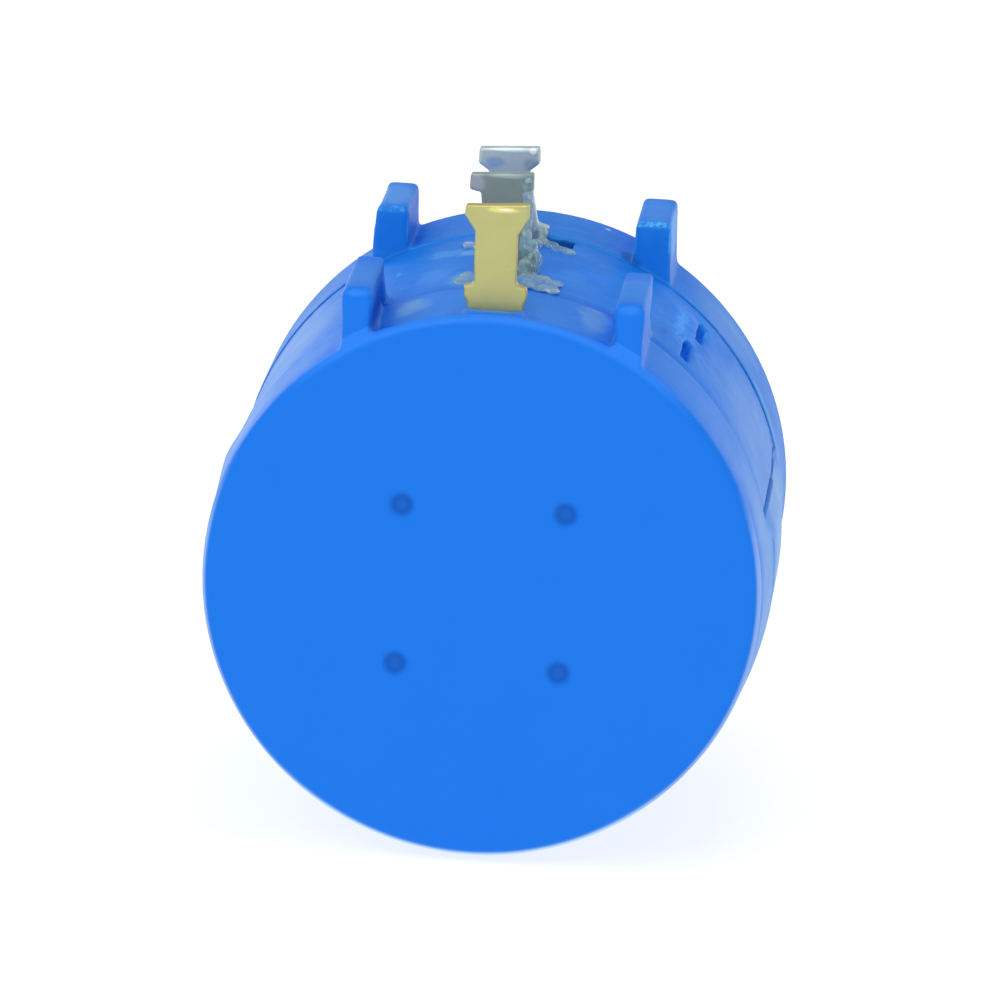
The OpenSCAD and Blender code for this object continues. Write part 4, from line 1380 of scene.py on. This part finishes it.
@dataclass
class SealingResin:
    """Resin that crept up the terminals' edges and set in lumps, runs and films."""

    voxel: float = 0.04
    lumps: tuple[Drop, ...] = tuple(Drop(*row) for row in (
        ((0.82, -5.1, 11.2), (0.27, 0.45, 0.34)),
        ((0.7, -5.3, 11.42), (0.2, 0.3, 0.16)),
        ((0.98, -5.75, 10.98), (0.3, 0.45, 0.22)),
        ((1.3, -6.1, 10.95), (0.34, 0.36, 0.2)),
        ((1.7, -6.45, 10.9), (0.36, 0.3, 0.18)),
        ((2.1, -6.65, 10.84), (0.3, 0.26, 0.16)),
        ((0.7, -6.6, 11.05), (0.34, 0.8, 0.2)),
        ((0.66, -7.8, 11.03), (0.28, 0.8, 0.16)),
        ((0.62, -9.4, 11.03), (0.24, 1.1, 0.13)),
        ((0.62, -11.2, 14.4), (0.27, 0.28, 0.6)),
        ((0.64, -11.2, 13.4), (0.26, 0.27, 0.8)),
        ((0.62, -11.2, 12.2), (0.26, 0.3, 0.8)),
        ((0.82, -11.0, 11.9), (0.3, 0.35, 0.42)),
        ((1.0, -11.1, 11.45), (0.34, 0.45, 0.5)),
        ((0.7, -11.7, 11.3), (0.36, 0.5, 0.4)),
        ((0.85, -12.4, 11.1), (0.46, 0.7, 0.26)),
        ((0.8, -13.2, 11.03), (0.46, 0.9, 0.14)),
        ((1.3, -12.4, 11.0), (0.5, 0.8, 0.15)),
        ((1.8, -12.6, 10.92), (0.5, 0.5, 0.13)),
        ((1.55, -13.4, 10.95), (0.55, 0.6, 0.16)),
        ((1.95, -13.6, 10.88), (0.32, 0.4, 0.15)),
        ((-1.98, -6.45, 10.86), (0.3, 0.5, 0.13)),
        ((-1.5, -6.7, 10.93), (0.3, 0.5, 0.1)),
        ((-1.6, -11.9, 10.9), (0.3, 0.7, 0.08)),
        ((-1.7, -12.9, 10.88), (0.35, 0.7, 0.07)),
    ))
    bubbles: int = 110
    bubble_r: tuple[float, float] = (0.035, 0.085)
    bubbled_lumps: int = 20
    bubble_seed: int = 5
    skin_seed: int = 41
    rounds: int = 3

    def build(self) -> Piece:
        """Makes the resin in place of its plain drops."""
        build = bmesh.new()
        for drop in (*self.lumps, *self._bubbles()):
            made = bmesh.ops.create_icosphere(build, subdivisions=3, radius=1.0)
            for vert in made["verts"]:
                parts = zip(drop.centre, drop.reach, vert.co)
                vert.co = Vector(MM * (c + r * v) for c, r, v in parts)
        mesh = bpy.data.meshes.new("resin")
        build.to_mesh(mesh)
        build.free()
        mesh = melted(mesh, self.voxel)
        points = vertices(mesh) / MM
        points = relax(mesh, points, np.full(len(points), 0.5), self.rounds)
        rough = ValueNoise(self.skin_seed)
        roughen(mesh, points, rough.at(points, 0.33) * 0.045 + rough.at(points + 1.0, 0.15) * 0.012)
        return add_piece("sealing_resin", mesh, Stock.RESIN, "sealing_resin", Body.HOUSING,
                         "terminal_resin")

    def _bubbles(self) -> list[Drop]:
        """Small round bubbles on the larger lumps."""
        draw = np.random.default_rng(self.bubble_seed)
        made = []
        for _ in range(self.bubbles):
            lump = self.lumps[int(draw.integers(self.bubbled_lumps))]
            way = draw.normal(size=3) * (1.0, 1.0, 0.6)
            way[2] = abs(way[2])
            way /= np.linalg.norm(way)
            size = float(draw.uniform(*self.bubble_r))
            centre = tuple(float(c + 0.95 * r * w) for c, r, w in zip(lump.centre, lump.reach, way))
            made.append(Drop(centre, (size, size, size)))
        return made


@dataclass
class Dressing:
    """Finishes for the solids that keep their own shape."""

    finishes: tuple[tuple[Finish, tuple[str, ...]], ...] = (
        (Stock.STEEL, ("shaft", "guide_rod_left", "guide_rod_right")),
        (Stock.SPRING_STEEL, ("thrust_washer", "retaining_ring")),
        (Stock.ROTOR, ("rotor",)),
        (Stock.BRASS, ("slip_ring", "wiper_contact", "rod_contact", "slip_brush")),
        (Stock.CARRIAGE, ("wiper_carriage",)),
        (Stock.TIN, ("ccw_end_strap", "cw_end_strap")),
    )

    def apply(self, nodes: dict[str, Piece]) -> None:
        """Puts each finish on its solids."""
        for finish, names in self.finishes:
            material = finish.material()
            for name in names:
                nodes[name].data.materials.clear()
                nodes[name].data.materials.append(material)
                LOG.info("%s: %s", name, finish.name)


@dataclass
class Studio:
    """Pale floor, soft lights and the camera."""

    azimuth: float = 3.934
    elevation: float = 14.631
    roll: float = 2.616
    distance: float = 0.339515
    lens: float = 294.56
    sensor: float = 36.0
    shift: tuple[float, float] = (-0.01886, -0.03139)
    clip: tuple[float, float] = (0.01, 20.0)
    floor_half: float = 4.0
    floor: Paper = Paper("floor_paper", (0.3, 0.3, 0.3), (0.95, 0.96, 0.97), 0.84)
    sky_colour: Colour = (0.985, 0.99, 1.0)
    sky: float = 0.56
    lamps: tuple[tuple[str, Point, float, float], ...] = (
        ("key", (-0.15, -0.42, 0.42), 0.4, 1.1),
        ("top", (0.05, -0.12, 0.5), 0.18, 0.4),
        ("rim_left", (-0.45, 0.5, 0.16), 0.3, 1.05),
        ("rim_right", (0.5, 0.5, 0.12), 0.3, 0.9975),
    )

    def build(self, floor_z: float) -> None:
        """Makes the floor at a height in metres, the lights and the camera."""
        self._floor(floor_z)
        self._sky()
        for name, place, size, power in self.lamps:
            self._lamp(name, place, size, power)
        self._camera()

    def _floor(self, floor_z: float) -> None:
        """Large pale floor."""
        build = bmesh.new()
        bmesh.ops.create_grid(build, x_segments=2, y_segments=2, size=self.floor_half)
        mesh = bpy.data.meshes.new("floor")
        build.to_mesh(mesh)
        build.free()
        mesh.materials.append(self.floor.material())
        floor = bpy.data.objects.new("floor", mesh)
        floor.location.z = floor_z
        bpy.context.scene.collection.objects.link(floor)
        floor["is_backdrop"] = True

    def _sky(self) -> None:
        """Even white surroundings."""
        world = bpy.data.worlds.new("studio")
        bpy.context.scene.world = world
        world.use_nodes = True
        graph = Graph(world.node_tree)
        graph.fill(graph.tree.nodes["Background"], {"Color": self.sky_colour, "Strength": self.sky})

    @staticmethod
    def _lamp(name: str, place: Point, size: float, power: float) -> None:
        """Soft square lamp that points at the origin."""
        data = bpy.data.lights.new(name, "AREA")
        data.size = size
        data.energy = power
        lamp = bpy.data.objects.new(name, data)
        lamp.location = place
        lamp.rotation_euler = (-lamp.location).to_track_quat("-Z", "Y").to_euler()
        bpy.context.scene.collection.objects.link(lamp)

    def _camera(self) -> None:
        """Camera behind and slightly above the body."""
        azimuth, elevation, roll = map(math.radians, (self.azimuth, self.elevation, self.roll))
        level = Vector((math.cos(azimuth), math.sin(azimuth), 0.0))
        away = Vector((math.sin(azimuth), -math.cos(azimuth), 0.0))
        back = math.cos(elevation) * away + math.sin(elevation) * Vector((0.0, 0.0, 1.0))
        right = math.cos(roll) * level + math.sin(roll) * back.cross(level)
        pose = Matrix((right, back.cross(right), back)).transposed().to_4x4()
        pose.translation = back * self.distance
        data = bpy.data.cameras.new("camera")
        data.lens, data.sensor_width = self.lens, self.sensor
        data.shift_x, data.shift_y = self.shift
        data.clip_start, data.clip_end = self.clip
        camera = bpy.data.objects.new("camera", data)
        camera.matrix_world = pose
        bpy.context.scene.collection.objects.link(camera)
        bpy.context.scene.camera = camera
        bpy.context.scene.view_settings.view_transform = "Standard"


def main() -> None:
    """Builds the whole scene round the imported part."""
    logging.basicConfig(level=logging.INFO, format="%(name)s %(message)s")
    for thing in list(bpy.data.objects):
        bpy.data.objects.remove(thing)
    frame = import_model()
    nodes = frame["nodes"]
    cad_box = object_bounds()
    for moulding in (
        RearCover("rear_cover", "moulded_cover", Stock.COVER, 11),
        CoilHousing("coil_housing", "moulded_coil_housing", Stock.COIL_HOUSING, 12),
        FrontHousing("front_housing", "moulded_front_housing", Stock.FRONT, 13),
    ):
        moulding.build(nodes, cad_box)
    ThreadedBushing().build()
    WoundCoil().build()
    for terminal in (
        Terminal("wiper_terminal", "gold_terminal", Stock.GOLD, "gold_plate", middle_y=-17.48,
                 lean=-0.08, foot=10.99, top=15.17, skirt=(0.42, 0.58), taper=0.68),
        Terminal("cw_terminal", "rear_tin_terminal", Stock.TIN_DULL, "tin_plate", middle_y=-11.11,
                 lean=-0.38, foot=11.04, top=15.0, skirt=(0.65, 0.65), taper=0.12, head_left=1.31),
        Terminal("ccw_terminal", "front_tin_terminal", Stock.TIN, "tin_plate", middle_y=-4.74,
                 lean=-0.6, foot=11.14, top=14.68, skirt=(0.65, 0.65), taper=0.32,
                 shoulder_top=(0.9, 0.45)),
    ):
        terminal.build()
    SealingResin().build()
    Dressing().apply(nodes)
    Studio().build(cad_box[0].z)


if __name__ == "__main__":
    main()
